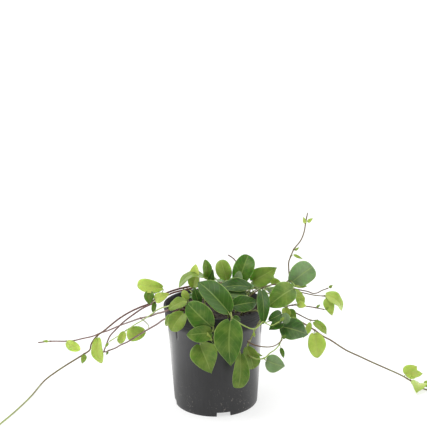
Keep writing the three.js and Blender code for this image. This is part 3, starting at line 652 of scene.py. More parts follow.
# %% One blade
SMALL_LEAF = 16
SMALL_GRID, FULL_GRID = (9, 7), (25, 17)
FULL_DETAIL = 45
BLADE_FROM, BLADE_TO = 0.03, 0.99
LEAST_HALF_WIDTH = 0.4
RUFFLE = 1.5
RUFFLE_WAVES, RUFFLE_SHIFT = 1.7, 0.25
GROOVE_DEPTH = 0.7
RIDGE_HEIGHT = 0.6
BASE_LOBES = 0.07
SWAY = 0.03
UNEVEN = 0.07
FOLD_UNEVEN = 0.35
FOLD_SOFT = 1.2
BASE_FOLD, FOLD_OPENS = 1.15, 0.3
TURN_EACH = 0.37
BLADE_THICK, MARGIN_THINNER = 0.36, 0.22
RIB_THICKER, THICK_RIB_HALF = 0.25, 0.12
SKIN_OUT = 0.6


def blade(spec, order):
    """Upper and lower skin of a blade as one closed tube that is flat: base to tip in rings.

    Height: length (arch 4 v (1 - v) + curl (v - v^3)) + distance from the midrib x sin(fold)
    + detail (ruffle u^4 sin(wave along v) - the veins' grooves + the side veins' ridges).
    The order of a leaf turns its waves, so that no two are alike.
    """
    along, across, up, length = leaf_directions(spec)
    small = length < SMALL_LEAF
    rows, columns = SMALL_GRID if small else FULL_GRID
    v = (0.5 - 0.5 * np.cos(pi * np.linspace(BLADE_FROM, BLADE_TO, rows)))[:, None]
    u = np.linspace(-1, 1, columns)[None, :]
    half = np.maximum(LEAST_HALF_WIDTH, spec["width"] / 2 * half_width(v, spec["blunt"]))
    detail = 0.0 if small else min(1.0, length / FULL_DETAIL)
    groove, ridge = vein_relief(u, v)
    turn = 2 * pi * TURN_EACH * order
    fold = radians(spec["fold"]) * (1 + FOLD_UNEVEN * np.sin(turn) * u) * (BASE_FOLD - FOLD_OPENS * v)
    bend = np.sqrt((u * half) ** 2 + FOLD_SOFT ** 2) - FOLD_SOFT
    ruffle = u ** 4 * np.sin(2 * pi * (RUFFLE_WAVES * v + RUFFLE_SHIFT * np.sign(u)) + turn)
    relief = RUFFLE * ruffle - GROOVE_DEPTH * groove + RIDGE_HEIGHT * ridge * (1 - u ** 2)
    rise = length * (spec["arch"] * 4 * v * (1 - v) + spec["curl"] * (v - v ** 3))
    height = rise + bend * np.sin(fold) + detail * relief
    back = length * (BASE_LOBES * (1 - v) ** 5 * np.abs(u) ** 1.5)
    sway = SWAY * length * np.sin(turn + 1) * np.sin(pi * v)
    uneven = 1 + detail * UNEVEN * np.sign(u) * np.sin(pi * v + turn)
    middle = (np.array(spec["base"]) + along * (length * v - back)[..., None]
              + up * height[..., None] + across * (u * half * uneven * np.cos(fold) + sway)[..., None])
    rib = RIB_THICKER * np.exp(-(u / THICK_RIB_HALF) ** 2) * (1 - v)
    thick = BLADE_THICK - MARGIN_THINNER * np.abs(u) + rib
    half_thick = up * (thick * SKIN_OUT)[..., None]
    upper, lower = middle + half_thick, middle - half_thick
    rings = MM * np.concatenate([upper, lower[:, ::-1]], 1)
    under = np.concatenate([0 * u + 0 * v, 1 + 0 * u + 0 * v], 1)
    return closed_tube(rings, across=np.concatenate([u + 0 * v, (u + 0 * v)[:, ::-1]], 1),
                       along=np.concatenate([v + 0 * u] * 2, 1), under=under, tone=spec["tone"])


print("detail of a 30 mm blade:", round(30 / FULL_DETAIL, 2))

# %% Stalks, leaves and shoots
STALK_SIDES = 8
STALK_SPACING = 3
STALK_BEND = 0.35
STALK_OVERLAP = 0.05
WIDE_LEAF = 16
WIDE_LEAF_STALK, SMALL_LEAF_STALK = 0.9, 0.62
STALK_THINNING = 0.3


def stalk(spec, start):
    """A thin stalk from the stem to the blade, which it meets along its midrib.

    It is the sum of four control points by (1-t)^3, 3t (1-t)^2, 3t^2 (1-t) and t^3.
    """
    along, _, _, length = leaf_directions(spec)
    start, base = np.array(start, float), np.array(spec["base"], float)
    reach = np.linalg.norm(base - start)
    before = base - along * STALK_BEND * reach
    controls = [start, 0.5 * (start + before), before, base + along * STALK_OVERLAP * length]
    t = np.linspace(0, 1, 6 + int(reach / STALK_SPACING))[:, None]
    weights = [(1 - t) ** 3, 3 * t * (1 - t) ** 2, 3 * t ** 2 * (1 - t), t ** 3]
    curve = sum(w * c for w, c in zip(weights, controls))
    thick = WIDE_LEAF_STALK if spec["width"] > WIDE_LEAF else SMALL_LEAF_STALK
    rings = tube_rings(curve, thick - STALK_THINNING * t[:, 0], STALK_SIDES)
    return closed_tube(rings, age=0.10 + 0.35 * (1 - t) ** 2)


def leaf(at, base, tip, width, face, tone=0.0, fold=16, arch=0.1, curl=0.06, blunt=0.7):
    """A leaf: the path point its stalk leaves from, blade's base and tip, width and upper side."""
    return dict(at=at, base=base, tip=tip, width=width, face=face, tone=tone, fold=fold, arch=arch,
                curl=curl, blunt=blunt)


def shoot(path, leaves, radius, age, root=None, start=None):
    """A shoot: its route, leaves, thickness and age (0 green, 1 red-brown) at start and end."""
    first = [(*root, 134.0), (*root, 150.0)] if root else [start]
    return dict(route=[*first, *path], path=path, leaves=leaves, radius=radius, age=age)


sample = blade(leaf(1, (0, 0, 0), (0, 40, 0), 26, (0, 0, 1)), 0)
print("one leaf has", len(sample[1]), "faces")

# %% [markdown]
# ## The plan of the plant
#
# This is where each stem runs and where each leaf sits, in millimetres, the same as in the CAD
# model. The trailing stems are a little thicker here, so that they read well from a distance. The
# tone of a leaf goes from -1, bluish with a painted sheen, through a deep green near -0.5 that is
# painted shade for leaves inside the crown, to 0, mid green, and 1, young and yellow-green.
# Writing the plant down leaf by leaf takes longer than scattering copies, but the real one is
# known by its few big leaves, and each of them has its own turn and colour.
#
# Five stems trail to the left. They leave the pot together, cross, and part again further down.

# %% Trailing stems a and b
PLANT = {}
PLANT["stem_trail_left_a"] = [
    shoot(root=(22, 22), radius=1.6, age=(1.3, 0.15), path=[
        (20, 20, 170), (12, 18, 182), (-4, 20, 182), (-38, 26, 176), (-67, 36, 166),
        (-91, 47, 152), (-106, 55, 139), (-122, 64, 130), (-140, 73, 119), (-160, 83, 104),
        (-175, 90, 90.4), (-187, 95, 79.2), (-200, 99, 68.8), (-211, 101, 53.2),
        (-214, 102, 42.6), (-224, 102, 35.1), (-240, 100, 25.8), (-255, 95, 17.9),
        (-271, 86, 9.7), (-284, 66, 5.1), (-296, 8, 1.6), (-308, -44, 1.6), (-327, -106, 1.6),
    ], leaves=[
        leaf(13, (-198, 95, 64.8), (-193, 87, 24.2), 22, (-0.2, -1, 0.1), tone=0.85, blunt=0.5),
        leaf(16, (-222, 98, 34.7), (-227, 94, 21), 10, (0, -1, 0.3), tone=0.3),
        leaf(6, (-84, 40, 170), (-122, 37, 178), 22, (0, -1, 0.3), tone=1.15, fold=10, blunt=0.36),
        leaf(6, (-103, 31, 167), (-103, 25, 147), 17, (0.1, -1, 0.2), tone=0.1),
    ]),
]
PLANT["stem_trail_left_b"] = [
    shoot(root=(4, 4), radius=1.6, age=(1.2, 0.9), path=[
        (4, 5, 172), (-2, 8, 184), (-16, 10, 183), (-38, 14, 176), (-66, 21, 167),
        (-84, 27, 156), (-98, 35, 146), (-110, 44, 138), (-121, 54, 129), (-138, 69, 113),
        (-153, 82, 98), (-168, 95, 80), (-179, 104, 66), (-188, 114, 45), (-194, 122, 30),
    ], leaves=[
        leaf(7, (-93, 28, 154), (-70, 20, 166), 17, (0.1, -1, 0.4), tone=0.85),
        leaf(7, (-95, 32, 147), (-97, 29, 130), 9, (-0.2, -1, 0.2), tone=0.1),
    ]),
]
print("stems so far:", len(PLANT))

# %% Trailing stems c, d and e
PLANT["stem_trail_left_c"] = [
    shoot(root=(-42, -23), radius=1.5, age=(0.8, 1.1), path=[
        (-44, -26, 158), (-57, -38, 167), (-66, -46, 163), (-74, -36, 157), (-80, -24, 151),
        (-89, -6, 143), (-102, 16, 131), (-120, 48, 117), (-142, 84, 98), (-162, 112, 82),
        (-186, 134, 65), (-203, 148, 55), (-217, 158, 46), (-239, 170, 37), (-255, 177, 31),
        (-270, 182, 28), (-300, 188, 26), (-323, 190, 23),
    ], leaves=[
        leaf(16, (-268, 179, 27), (-244, 173, 14), 19, (0.2, -1, 0.3), tone=0.8, blunt=0.5),
        leaf(17, (-304, 185, 27), (-312, 180, 30), 5, (0, -1, 0.5), tone=0.4),
        leaf(8, (-118, 81, 83), (-147, 80, 74), 25, (0, -1, 0.2), tone=0.78, fold=8, blunt=0.4),
    ]),
]
PLANT["stem_trail_left_d"] = [
    shoot(root=(-40, -36), radius=1.5, age=(1.2, 1.1), path=[
        (-46, -42, 160), (-53, -49, 163), (-60, -54, 161), (-67, -50, 153), (-73, -40, 147),
        (-80, -26, 139), (-88, -10, 128), (-103, 16, 111), (-126, 52, 86), (-146, 76, 66),
        (-160, 90, 55), (-170, 100, 46), (-183, 109, 38), (-191, 118, 32), (-193, 121, 33),
    ], leaves=[
        leaf(13, (-184, 108, 36), (-187, 107, 31), 4, (0, -1, 0.4), tone=0.2),
    ]),
]
PLANT["stem_trail_left_e"] = [
    shoot(root=(-48, -26), radius=1.15, age=(0.2, 0.1), path=[
        (-53, -30, 165), (-58, -39, 172), (-65, -47, 170), (-72, -36, 164), (-79, -22, 158),
        (-89, -8, 149), (-97, 6, 139), (-116, 31, 119), (-130, 48, 106), (-141, 60, 95),
        (-162, 80, 75), (-178, 93, 61),
    ], leaves=[
        leaf(10, (-149, 58, 90), (-157, 56, 71), 14, (0, -1, 0.3), tone=0.8, blunt=0.5),
        leaf(12, (-181, 94, 57), (-186, 93, 50), 5, (0, -1, 0.4), tone=0.6),
    ]),
]
print("stems so far:", len(PLANT))

# %% [markdown]
# ## The shoots in front
#
# These shoots come over the rim and hang, so their biggest leaves face forward and hide the
# collar. Leaves that name the same path point share a node of the stem, as a pair does.

# %% Shoots at the front left
PLANT["stem_left_low"] = [
    shoot(root=(-29, -40), radius=1, age=(0.3, 0.1), path=[
        (-36, -43, 162), (-44, -49, 172), (-50, -60, 170), (-53, -66, 164),
    ], leaves=[
        leaf(2, (-43, -52, 178), (-67, -65, 169), 19, (0, -0.8, 1), tone=0.3, blunt=0.55),
        leaf(1, (-40, -40, 176), (-47, -36, 189), 12, (0, -1, 0.2), tone=0.6, blunt=0.5),
        leaf(4, (-46, -69, 164), (-63, -77, 141), 27, (-0.2, -1, 0.3), tone=0.3, blunt=0.5),
        leaf(4, (-62, -66, 160), (-72, -62, 143), 14, (-0.6, -1, 0.3), tone=0.3),
    ]),
]
PLANT["stem_front_left"] = [
    shoot(root=(-18, -36), radius=1.1, age=(0.3, 0.2), path=[
        (-17, -46, 162), (-14, -58, 169), (-10, -72, 170), (-6, -81, 162), (-3, -84, 150),
        (0, -82, 133), (4, -82, 116),
    ], leaves=[
        leaf(5, (-6, -86, 151), (-39, -76, 182), 36, (-0.1, -1, 0.1), tone=0.0, fold=12, blunt=0.5),
        leaf(5, (-6, -87, 141), (-41, -89, 139), 26, (0, -1, 0.3), tone=0.12, fold=20, blunt=0.6),
        leaf(6, (-22, -85, 122), (-6, -93, 81), 42, (-0.1, -1, 0.2), tone=0.18, fold=14, blunt=0.9),
        leaf(7, (-6, -88, 130), (-11, -92, 144), 8, (-0.4, -1, 0), tone=0.5),
        leaf(2, (-24, -40, 170), (-31, -34, 194), 15, (0.2, -1, 0.2), tone=-0.4),
    ]),
]
print("stems so far:", len(PLANT))

# %% Shoot at the front centre
PLANT["stem_front_centre"] = [
    shoot(root=(20, -36), radius=1.2, age=(0.3, 0.1), path=[
        (21, -48, 160), (22, -62, 167), (23, -76, 168), (24, -84, 160), (26, -84, 145),
        (29, -84, 130), (33, -85, 116),
    ], leaves=[
        leaf(4, (19, -77, 169), (-24, -44, 204), 41, (0.2, -0.8, 0.5), tone=-0.2, fold=22, blunt=0.6),
        leaf(4, (22, -88, 158), (22, -95, 93), 43, (-0.1, -1, 0.15), tone=0.05, fold=14, blunt=0.75),
        leaf(7, (36, -90, 108), (32, -94, 59), 25, (0.1, -1, 0.1), tone=0.2, arch=0.06, blunt=0.35),
        leaf(3, (25, -62, 172), (62, -46, 172), 26, (0, -0.9, 0.6), tone=-0.4, blunt=0.6),
        leaf(4, (27, -78, 161), (37, -76, 154), 9, (0, -1, 0.4), tone=-0.4),
    ]),
    shoot(start=(24, -84, 160), radius=0.9, age=(0, 0), path=[
        (30, -89, 159), (41, -91, 152.5), (54, -90, 147), (62, -86, 149), (68, -81, 154),
        (74, -77, 150), (81, -74, 146), (93, -68, 149),
    ], leaves=[
        leaf(3, (55, -91, 142), (56, -91, 135), 4, (0, -1, 0.1), tone=0.5),
        leaf(8, (96, -66, 151), (101, -64, 155), 5, (0, -1, 0.3), tone=0.4),
    ]),
]
print("stems so far:", len(PLANT))

# %% Shoot at the front right
PLANT["stem_front_right"] = [
    shoot(root=(40, -30), radius=1.2, age=(0.4, 0.3), path=[
        (46, -38, 155), (55, -48, 160), (62, -55, 162), (68, -59, 155), (60, -67, 141),
        (51, -73, 124), (44, -77, 106),
    ], leaves=[
        leaf(6, (46, -78, 114), (55, -84, 84), 25, (0.2, -1, 0.2), tone=0.25, blunt=0.42),
        leaf(7, (46, -81, 104), (68, -80, 102), 10, (0, -0.8, 0.8), tone=0.2),
    ]),
    shoot(start=(44, -77, 106), radius=1.1, age=(0.15, 0.1), path=[
        (51, -90, 105), (60, -94, 103), (70, -92, 103.5), (79, -84, 108), (87, -76, 110),
        (94, -66, 114), (99, -54, 121),
    ], leaves=[
        leaf(3, (74, -86, 97), (100, -88, 89), 27, (0, -1, 0.3), tone=-0.95, blunt=0.7),
        leaf(7, (99, -52, 136), (139, -41, 119), 34, (0, -1, 0.3), tone=-0.6, fold=12, blunt=0.8),
        leaf(6, (96, -67, 108), (100, -68, 93), 7, (0.2, -1, 0.1), tone=0.1),
    ]),
    shoot(start=(51, -73, 124), radius=1, age=(0.75, 0.55), path=[
        (47, -84, 125.5), (53, -91, 124.5), (60, -94, 123), (70, -92, 120.5), (79, -87, 118.5),
        (88, -79, 118), (97, -69, 121),
    ], leaves=[
        leaf(7, (99, -67, 123), (103, -65, 128), 5, (0, -1, 0.3), tone=0.1),
    ]),
    shoot(start=(60, -67, 141), radius=0.8, age=(0.2, 0.1), path=[
        (66, -66, 145), (76, -62, 147), (88, -56, 149), (98, -50, 150),
    ], leaves=[
        leaf(4, (98, -50, 155), (78, -62, 150), 18, (0, -1, 0.5), tone=-0.3, blunt=0.55),
        leaf(4, (98, -50, 142), (79, -60, 134), 17, (0, -1, 0.5), tone=-0.2),
        leaf(4, (103, -51, 156), (105, -55, 141), 14, (0, -1, 0.2), tone=-0.8, blunt=0.5),
    ]),
]
print("stems so far:", len(PLANT))

# %% [markdown]
# ## The shoots on the right
#
# One long stem runs out to the right and lies down at its end, and one young shoot stands up. Both
# carry thin side twigs, each a shoot of its own that starts from the main stem.

# %% Long stem on the right
PLANT["stem_right_long"] = [
    shoot(root=(48, -14), radius=1.5, age=(0.85, 0.4), path=[
        (58, -17, 160), (74, -21, 167), (92, -25, 164), (106, -24, 157), (116, -18, 147),
        (127, 2, 128), (143, 18, 113), (159, 30, 99), (173, 38, 86), (186, 44, 77),
        (214, 54, 55), (238, 58, 41.7), (258, 60, 31), (284, 58, 19.2), (304, 51, 11.6),
        (319, 40, 5.6), (331, 22, 1.6), (355, 0, 1.6),
    ], leaves=[
        leaf(8, (157, 24, 95), (161, 13, 59), 29, (0.1, -1, 0.1), tone=0.95, fold=8, blunt=0.55),
        leaf(16, (315, 61, 8), (334, 64, 21), 26, (-0.1, -1, 0.5), tone=0.85),
        leaf(16, (324, 53, 8.5), (341, 51, 13), 15, (-0.2, -0.7, 1), tone=0.8),
        leaf(17, (330, 30, 6), (317, -2, 4), 27, (0, -0.3, 1), tone=0.65),
        leaf(17, (337, 24, 4), (352, 30, 8), 14, (0, -0.5, 1), tone=0.7),
        leaf(5, (105, -34, 158), (106, -42, 140), 14, (0.1, -1, 0.4), tone=0.7),
        leaf(5, (112, -30, 154), (121, -38, 140), 13, (0.2, -1, 0.3), tone=0.3),
    ]),
    shoot(start=(106, -24, 157), radius=1, age=(1, 0.7), path=[
        (118, -25, 160), (137, -25, 158), (152, -24, 155), (165, -24, 152),
    ], leaves=[
        leaf(3, (154, -24, 156), (159, -24, 160), 4, (0, -1, 0.3), tone=0.3),
        leaf(4, (167, -24, 152), (172, -24, 155), 4, (0, -1, 0.3), tone=0.3),
        leaf(1, (124, -29, 163), (137, -31, 160), 12, (0, -1, 0.6), tone=0.8),
    ]),
    shoot(start=(113, -21, 150), radius=1, age=(0.9, 0.6), path=[
        (121, -25, 148), (129, -26, 144), (138, -26, 139), (145, -26, 136), (156, -26, 136),
    ], leaves=[
        leaf(5, (150, -29, 134), (168, -33, 115), 14, (0.3, -1, 0.4), tone=0.4, curl=0.3),
        leaf(4, (143, -29, 132), (133, -33, 111), 10, (0.1, -1, 0.2), tone=0.7),
    ]),
]
print("stems so far:", len(PLANT))

# %% Upright shoot on the right
PLANT["stem_right_upright"] = [
    shoot(root=(44, 6), radius=1.2, age=(0.5, 0.6), path=[
        (54, 5, 165), (70, 2, 177), (88, -1, 185), (104, -2, 187), (114, -1, 192),
        (114, 2, 206), (114, 4, 219), (117, 6, 227), (122, 8, 238), (133, 10, 252),
        (138, 10, 266), (140, 10, 280), (143, 12, 294),
    ], leaves=[
        leaf(5, (117, -27, 186), (79, -49, 167), 36, (0.2, -1, 0.5), tone=0.15, fold=12, blunt=0.55),
        leaf(5, (117, -2, 188), (151, 6, 211), 37, (0, -1, 0.2), tone=-0.9, fold=12, blunt=0.36),
        leaf(9, (124, 7, 237), (130, 5, 242), 4, (0, -1, 0.4), tone=0.5),
        leaf(8, (122, 5, 230), (135, 3, 224), 5, (0, -1, 0.4), tone=0.5),
        leaf(12, (139, 8, 279), (136, 6, 289), 6, (0, -1, 0.2), tone=0.8),
        leaf(12, (143, 8, 281), (150, 5, 287), 6, (0, -1, 0.4), tone=0.8),
    ]),
    shoot(start=(104, -2, 187), radius=1, age=(0.9, 0.6), path=[
        (116, -8, 182), (130, -7, 178), (143, -3, 174), (151, 0, 170), (158, 2, 170),
        (165, 4, 173), (175, 6, 176),
    ], leaves=[
        leaf(1, (124, -5, 186), (141, -6, 183), 12, (0, -1, 0.6), tone=0.4),
        leaf(7, (177, 6, 177), (182, 6, 181), 5, (0, -1, 0.3), tone=0.4),
    ]),
    shoot(start=(104, -2, 187), radius=1, age=(0.8, 0.5), path=[
        (116, -14, 179), (127, -13, 177), (138, -12, 174), (153, -10, 170), (167, -8, 168),
    ], leaves=[
        leaf(5, (170, -9, 170), (194, -11, 145), 25, (0.6, -0.8, 0.7), tone=0.65, arch=0.24),
        leaf(5, (171, -13, 165), (178, -21, 141), 17, (-0.3, -1, 0.2), tone=0.75),
        leaf(2, (126, -13, 173), (133, -15, 156), 15, (0.3, -1, 0.2), tone=0.6, blunt=0.5),
        leaf(1, (119, -19, 180), (132, -27, 172), 12, (0, -1, 0.7), tone=0.5, blunt=0.5),
    ]),
]
print("stems so far:", len(PLANT))

# %% [markdown]
# ## The shoots on top
#
# Short shoots in the middle hold the leaves that stand highest, and a few low leaves that cover
# the soil. Without these the pot would look half empty from above.

# %% Shoots on top
PLANT["stem_top_left"] = [
    shoot(root=(-16, -6), radius=1.1, age=(0.3, 0.1), path=[
        (-15, -5, 165), (-12, -3, 180), (-10, -2, 191),
    ], leaves=[
        leaf(3, (-12, -4, 197), (-54, -16, 187), 28, (0, -0.15, 1), tone=0.2, fold=10, arch=0.3,
             blunt=0.55),
        leaf(3, (-12, 2, 196), (-14, 4, 225), 16, (0.3, -1, 0.2), tone=0.2, fold=20, blunt=0.5),
        leaf(2, (-9, 0, 186), (-2, 2, 210), 11, (0.3, -1, 0.2), tone=-0.3),
        leaf(1, (-24, 7, 163), (-50, 22, 158), 20, (0, -0.3, 1), tone=-0.2),
    ]),
    shoot(start=(-15, -5, 165), radius=0.8, age=(0.2, 0.1), path=[
        (-22, -6, 172), (-30, -6, 180),
    ], leaves=[
        leaf(2, (-32, -4, 184), (-28, 0, 219), 20, (-0.3, -1, 0.3), tone=0.9, fold=20, blunt=0.6),
    ]),
]
PLANT["stem_top_centre"] = [
    shoot(root=(27, 6), radius=1.2, age=(0.3, 0.9), path=[
        (25, 5, 165), (29, 4, 180), (33, 6, 196), (37, 14, 210), (31, 22, 220), (22, 26, 226),
    ], leaves=[
        leaf(3, (19, 2, 194), (10, 8, 223), 25, (0.1, -1, 0.2), tone=0.4, fold=16, blunt=0.45),
        leaf(3, (37, 2, 186), (53, 20, 227), 32, (-0.1, -1, 0.3), tone=0.0, fold=12, blunt=0.42),
        leaf(2, (31, -4, 184), (39, 0, 207), 15, (0, -1, 0.2), tone=-0.9, blunt=0.5),
        leaf(1, (17, -7, 161), (-7, -20, 157), 19, (0, -0.4, 1), tone=-0.3),
    ]),
]
PLANT["stem_top_right"] = [
    shoot(root=(48, 22), radius=1, age=(0.3, 0.2), path=[
        (52, 20, 164), (58, 16, 174), (70, 15, 180), (84, 18, 183),
    ], leaves=[
        leaf(2, (59, 9, 188), (97, 14, 208), 31, (0, -1, 0.4), tone=0.3, fold=10, blunt=0.75),
        leaf(4, (88, 18, 185), (104, 18, 182), 12, (0, -1, 0.4), tone=0.6),
        leaf(3, (76, 20, 181), (92, 46, 186), 26, (0.1, -0.5, 1), tone=0.1),
        leaf(1, (42, 24, 161), (19, 36, 155), 18, (0, -0.2, 1), tone=-0.2),
    ]),
]
PLANT["stem_middle"] = [
    shoot(root=(32, -14), radius=1.1, age=(0.3, 0.2), path=[
        (38, -17, 162), (48, -21, 174), (58, -25, 182),
    ], leaves=[
        leaf(3, (54, -22, 188), (-2, -34, 187), 26, (0, -0.6, 1), tone=-0.45, blunt=0.6),
        leaf(3, (69, -42, 188), (70, -73, 148), 20, (0.1, -1, 0.3), tone=-0.35, blunt=0.55),
        leaf(2, (46, -36, 179), (14, -47, 181), 22, (0, -0.6, 1), tone=-0.6),
    ]),
]
planned = sum(len(one["leaves"]) for shoots in PLANT.values() for one in shoots)
print("stems:", len(PLANT), "leaves:", planned)

# %% [markdown]
# ## The shoots behind
#
# The back of the plant can't be seen, but a real one grows all round. Five short shoots lean over
# the rim or hang down the wall, each with pairs of leaves. They are placed by a rule with a fixed
# row of numbers, the same as in the CAD model, so both always agree.

# %% Back shoots
BACK_SEED = 2353
LEANING = [(57, 160), (71, 167), (84, 166), (95, 160), (104, 152)]
HANGING = [(57, 158), (72, 164), (82, 160), (86, 144), (85, 126), (84, 108)]
BACK_SHOOTS = [(34, LEANING, (2, 4, 5)), (60, HANGING, (4, 5, 6)), (82, LEANING, (2, 4, 5)),
               (98, HANGING, (4, 6)), (128, HANGING, (4, 5, 6))]
BACK_ROOTS = 50
BACK_LENGTH, BACK_WIDTH = 31, 22
ROW_FACTOR, ROW_MODULUS = 16807, 2147483647


def number_row(seed):
    """Numbers between 0 and 1, each 16807 times the last, modulo 2^31 - 1."""
    state = seed
    while True:
        state = state * ROW_FACTOR % ROW_MODULUS
        yield state / ROW_MODULUS


def back_size(row):
    """A factor between 0.85 and 1.15, from the next number of the row."""
    return 0.85 + 0.3 * next(row)


def back_leaf(at, side, spot, outward, sideways, hangs, row):
    """A leaf that leaves its node outward and to one side, with small differences each time."""
    out, aside, drop, face = (0.15, 0.35, 0.6, 0.3) if hangs else (0.8, 0.6, 0.1, 1.4)
    way = out * outward + side * (aside + 0.2 * next(row)) * sideways
    way[2] = -drop - 0.3 * next(row)
    way /= np.linalg.norm(way)
    length = BACK_LENGTH * back_size(row)
    base = spot + 6 * way + 2 * outward
    width = BACK_WIDTH * back_size(row)
    blunt = 0.5 + 0.3 * next(row)
    tone = 0.9 * ((at * 37 + side * 11 + int(spot[0])) % 10) / 10 - 0.4
    upper_side = (outward[0], outward[1], face)
    return leaf(at, base, base + way * length, width, upper_side, tone=tone, blunt=blunt)


row = number_row(BACK_SEED)
for number, (angle, route, nodes) in enumerate(BACK_SHOOTS, 1):
    outward = np.array([np.cos(radians(angle)), np.sin(radians(angle)), 0.0])
    sideways = np.array([-outward[1], outward[0], 0.0])
    path = [(r * outward[0], r * outward[1], z) for r, z in route]
    leaves = [back_leaf(at, side, np.array(path[at - 1]), outward, sideways, route is HANGING, row)
              for at in nodes for side in (-1, 1)]
    root = (BACK_ROOTS * outward[0], BACK_ROOTS * outward[1])
    PLANT[f"stem_back_{number}"] = [shoot(path, leaves, 1.0, (0.4, 0.2), root=root)]
print("with the back:", len(PLANT), "stems")

# %% [markdown]
# ## The leaves' finish
#
# The upper side is leathery with a low gloss and a paler midrib, and the underside is paler and
# dull. The tone of a leaf picks its colour: a bluish grey-green that is partly the leaf's own tone
# and partly a painted sheen of glossy leaves, then a deep green that is painted shade for leaves
# inside the crown, a mid green, and yellow-green when young. The veins can't come from a plain
# texture, because they follow each blade, so the material reads the same u and v that shaped it.

# %% Leaf material
# The bluish grey-green is partly the leaves' own bluish tone and partly a painted sheen of glossy leaves.
# The deep green is painted shade, given to leaves inside the crown.
BLUISH_SHEEN_GREEN = (0.190, 0.270, 0.125)
SHADED_GREEN = (0.024, 0.066, 0.005)
MID_GREEN = (0.046, 0.112, 0.008)
YELLOW_GREEN = (0.470, 0.560, 0.105)
VEIN_GREEN = (0.340, 0.440, 0.120)
UNDER_GREEN = (0.200, 0.290, 0.070)
GRAIN_GREEN = (0.015, 0.045, 0.006)
RIB_SHOWS, SIDE_VEINS_SHOW, MARGIN_SHOWS = 0.34, 0.11, 0.55
LEAF_ROUGHNESS = 0.40
UNDER_ROUGHER = 0.25

leaf_finish, tree, shader = new_material("periwinkle_leaf", LEAF_ROUGHNESS)
u, v, tone = attribute(tree, "across"), attribute(tree, "along"), attribute(tree, "tone")
patch = effect(tree, mottle, Scale=55.0, Contrast=0.65)
shade = math(tree, "ADD", tone, patch)
# The lowest tones go from the painted sheen to the painted shade, then on to mid green and yellow-green.
sheen_to_shade = mix_colour(tree, ramp(tree, shade, -1.0, -0.5), BLUISH_SHEEN_GREEN, SHADED_GREEN)
shade_to_mid = mix_colour(tree, ramp(tree, shade, -0.45, 0.0), sheen_to_shade, MID_GREEN)
fresh = mix_colour(tree, ramp(tree, shade, 0.0, 1.0), shade_to_mid, YELLOW_GREEN)
grain = ramp(tree, effect(tree, mottle, Scale=420.0, Contrast=1.0), -0.4, 0.4)
body = mix_colour(tree, scaled(tree, grain, 0.28), fresh, GRAIN_GREEN)
wide = math(tree, "ABSOLUTE", u)
rib = math(tree, "SUBTRACT", 1.0, ramp(tree, wide, 0.02, 0.075))
sweep = scaled(tree, math(tree, "POWER", wide, VEIN_CURVE), VEIN_SWEEP)
count = math(tree, "MULTIPLY", math(tree, "SUBTRACT", v, sweep), VEINS)
off = math(tree, "PINGPONG", count, 0.5)
side = math(tree, "SUBTRACT", 1.0, ramp(tree, off, 0.0, 0.10))
lines = math(tree, "MAXIMUM", scaled(tree, rib, RIB_SHOWS), scaled(tree, side, SIDE_VEINS_SHOW))
margin = scaled(tree, ramp(tree, wide, 0.93, 0.985), MARGIN_SHOWS)
veined = mix_colour(tree, math(tree, "MAXIMUM", lines, margin), body, VEIN_GREEN)
under = attribute(tree, "under")
pale = mix_colour(tree, 0.55, veined, UNDER_GREEN)
dull = mix_colour(tree, scaled(tree, lines, 0.8), pale, VEIN_GREEN)
tree.links.new(mix_colour(tree, under, veined, dull), shader.inputs["Base Color"])
upper_rough = scaled(tree, patch, 0.25, LEAF_ROUGHNESS)
tree.links.new(scaled(tree, under, UNDER_ROUGHER, upper_rough), shader.inputs["Roughness"])
shader.inputs["Specular IOR Level"].default_value = 0.22
shader.inputs["Subsurface Weight"].default_value = 0.10
shader.inputs["Subsurface Radius"].default_value = (0.35, 1.0, 0.12)
shader.inputs["Subsurface Scale"].default_value = 0.0015
bump(tree, shader, effect(tree, mottle, Scale=900.0, Contrast=1.0), 0.22, 0.0005)
print("leaf material:", len(tree.nodes), "nodes")

# %% [markdown]
# ## The stems' finish
#
# A stem starts green and turns red-brown where it has stood in the sun. Its age runs along it as
# a number that each ring carries, with a slow mottle so the change is never a straight line. Fine
# paler streaks stand for the ridges of its bark.

# %% Stem material
STEM_YOUNG = (0.26, 0.36, 0.08)
STEM_OLIVE = (0.14, 0.13, 0.045)
BARK_RED = (0.080, 0.022, 0.014)
BARK_STREAK = (0.24, 0.15, 0.08)
STEM_ROUGHNESS = 0.48

stem_finish, tree, shader = new_material("periwinkle_stem", STEM_ROUGHNESS)
age = scaled(tree, effect(tree, mottle, Scale=70.0, Contrast=1.0), 0.7, attribute(tree, "age"))
green = mix_colour(tree, ramp(tree, age, 0.05, 0.5), STEM_YOUNG, STEM_OLIVE)
bark = mix_colour(tree, ramp(tree, age, 0.35, 0.85), green, BARK_RED)
fine = effect(tree, streaks, Scale=600.0, Stretch=0.4)
streaky = scaled(tree, ramp(tree, fine, 0.0, 0.25), 0.16)
tree.links.new(mix_colour(tree, streaky, bark, BARK_STREAK), shader.inputs["Base Color"])
tree.links.new(scaled(tree, fine, 0.3, STEM_ROUGHNESS), shader.inputs["Roughness"])
shader.inputs["Specular IOR Level"].default_value = 0.3
bump(tree, shader, fine, 0.3, 0.0003)
print("stem material:", len(tree.nodes), "nodes")

# %% [markdown]
# ## Putting the plant together
#
# Each stem of the CAD model becomes two pieces, because wood and leaf have different finishes:
# one with its shoots and stalks and one with its blades. The loop below only walks over stems and
# leaves. The points of each are worked out at once.

# %% Stems and leaves as pieces
SPACING = 1.6
STEM_SIDES = 12


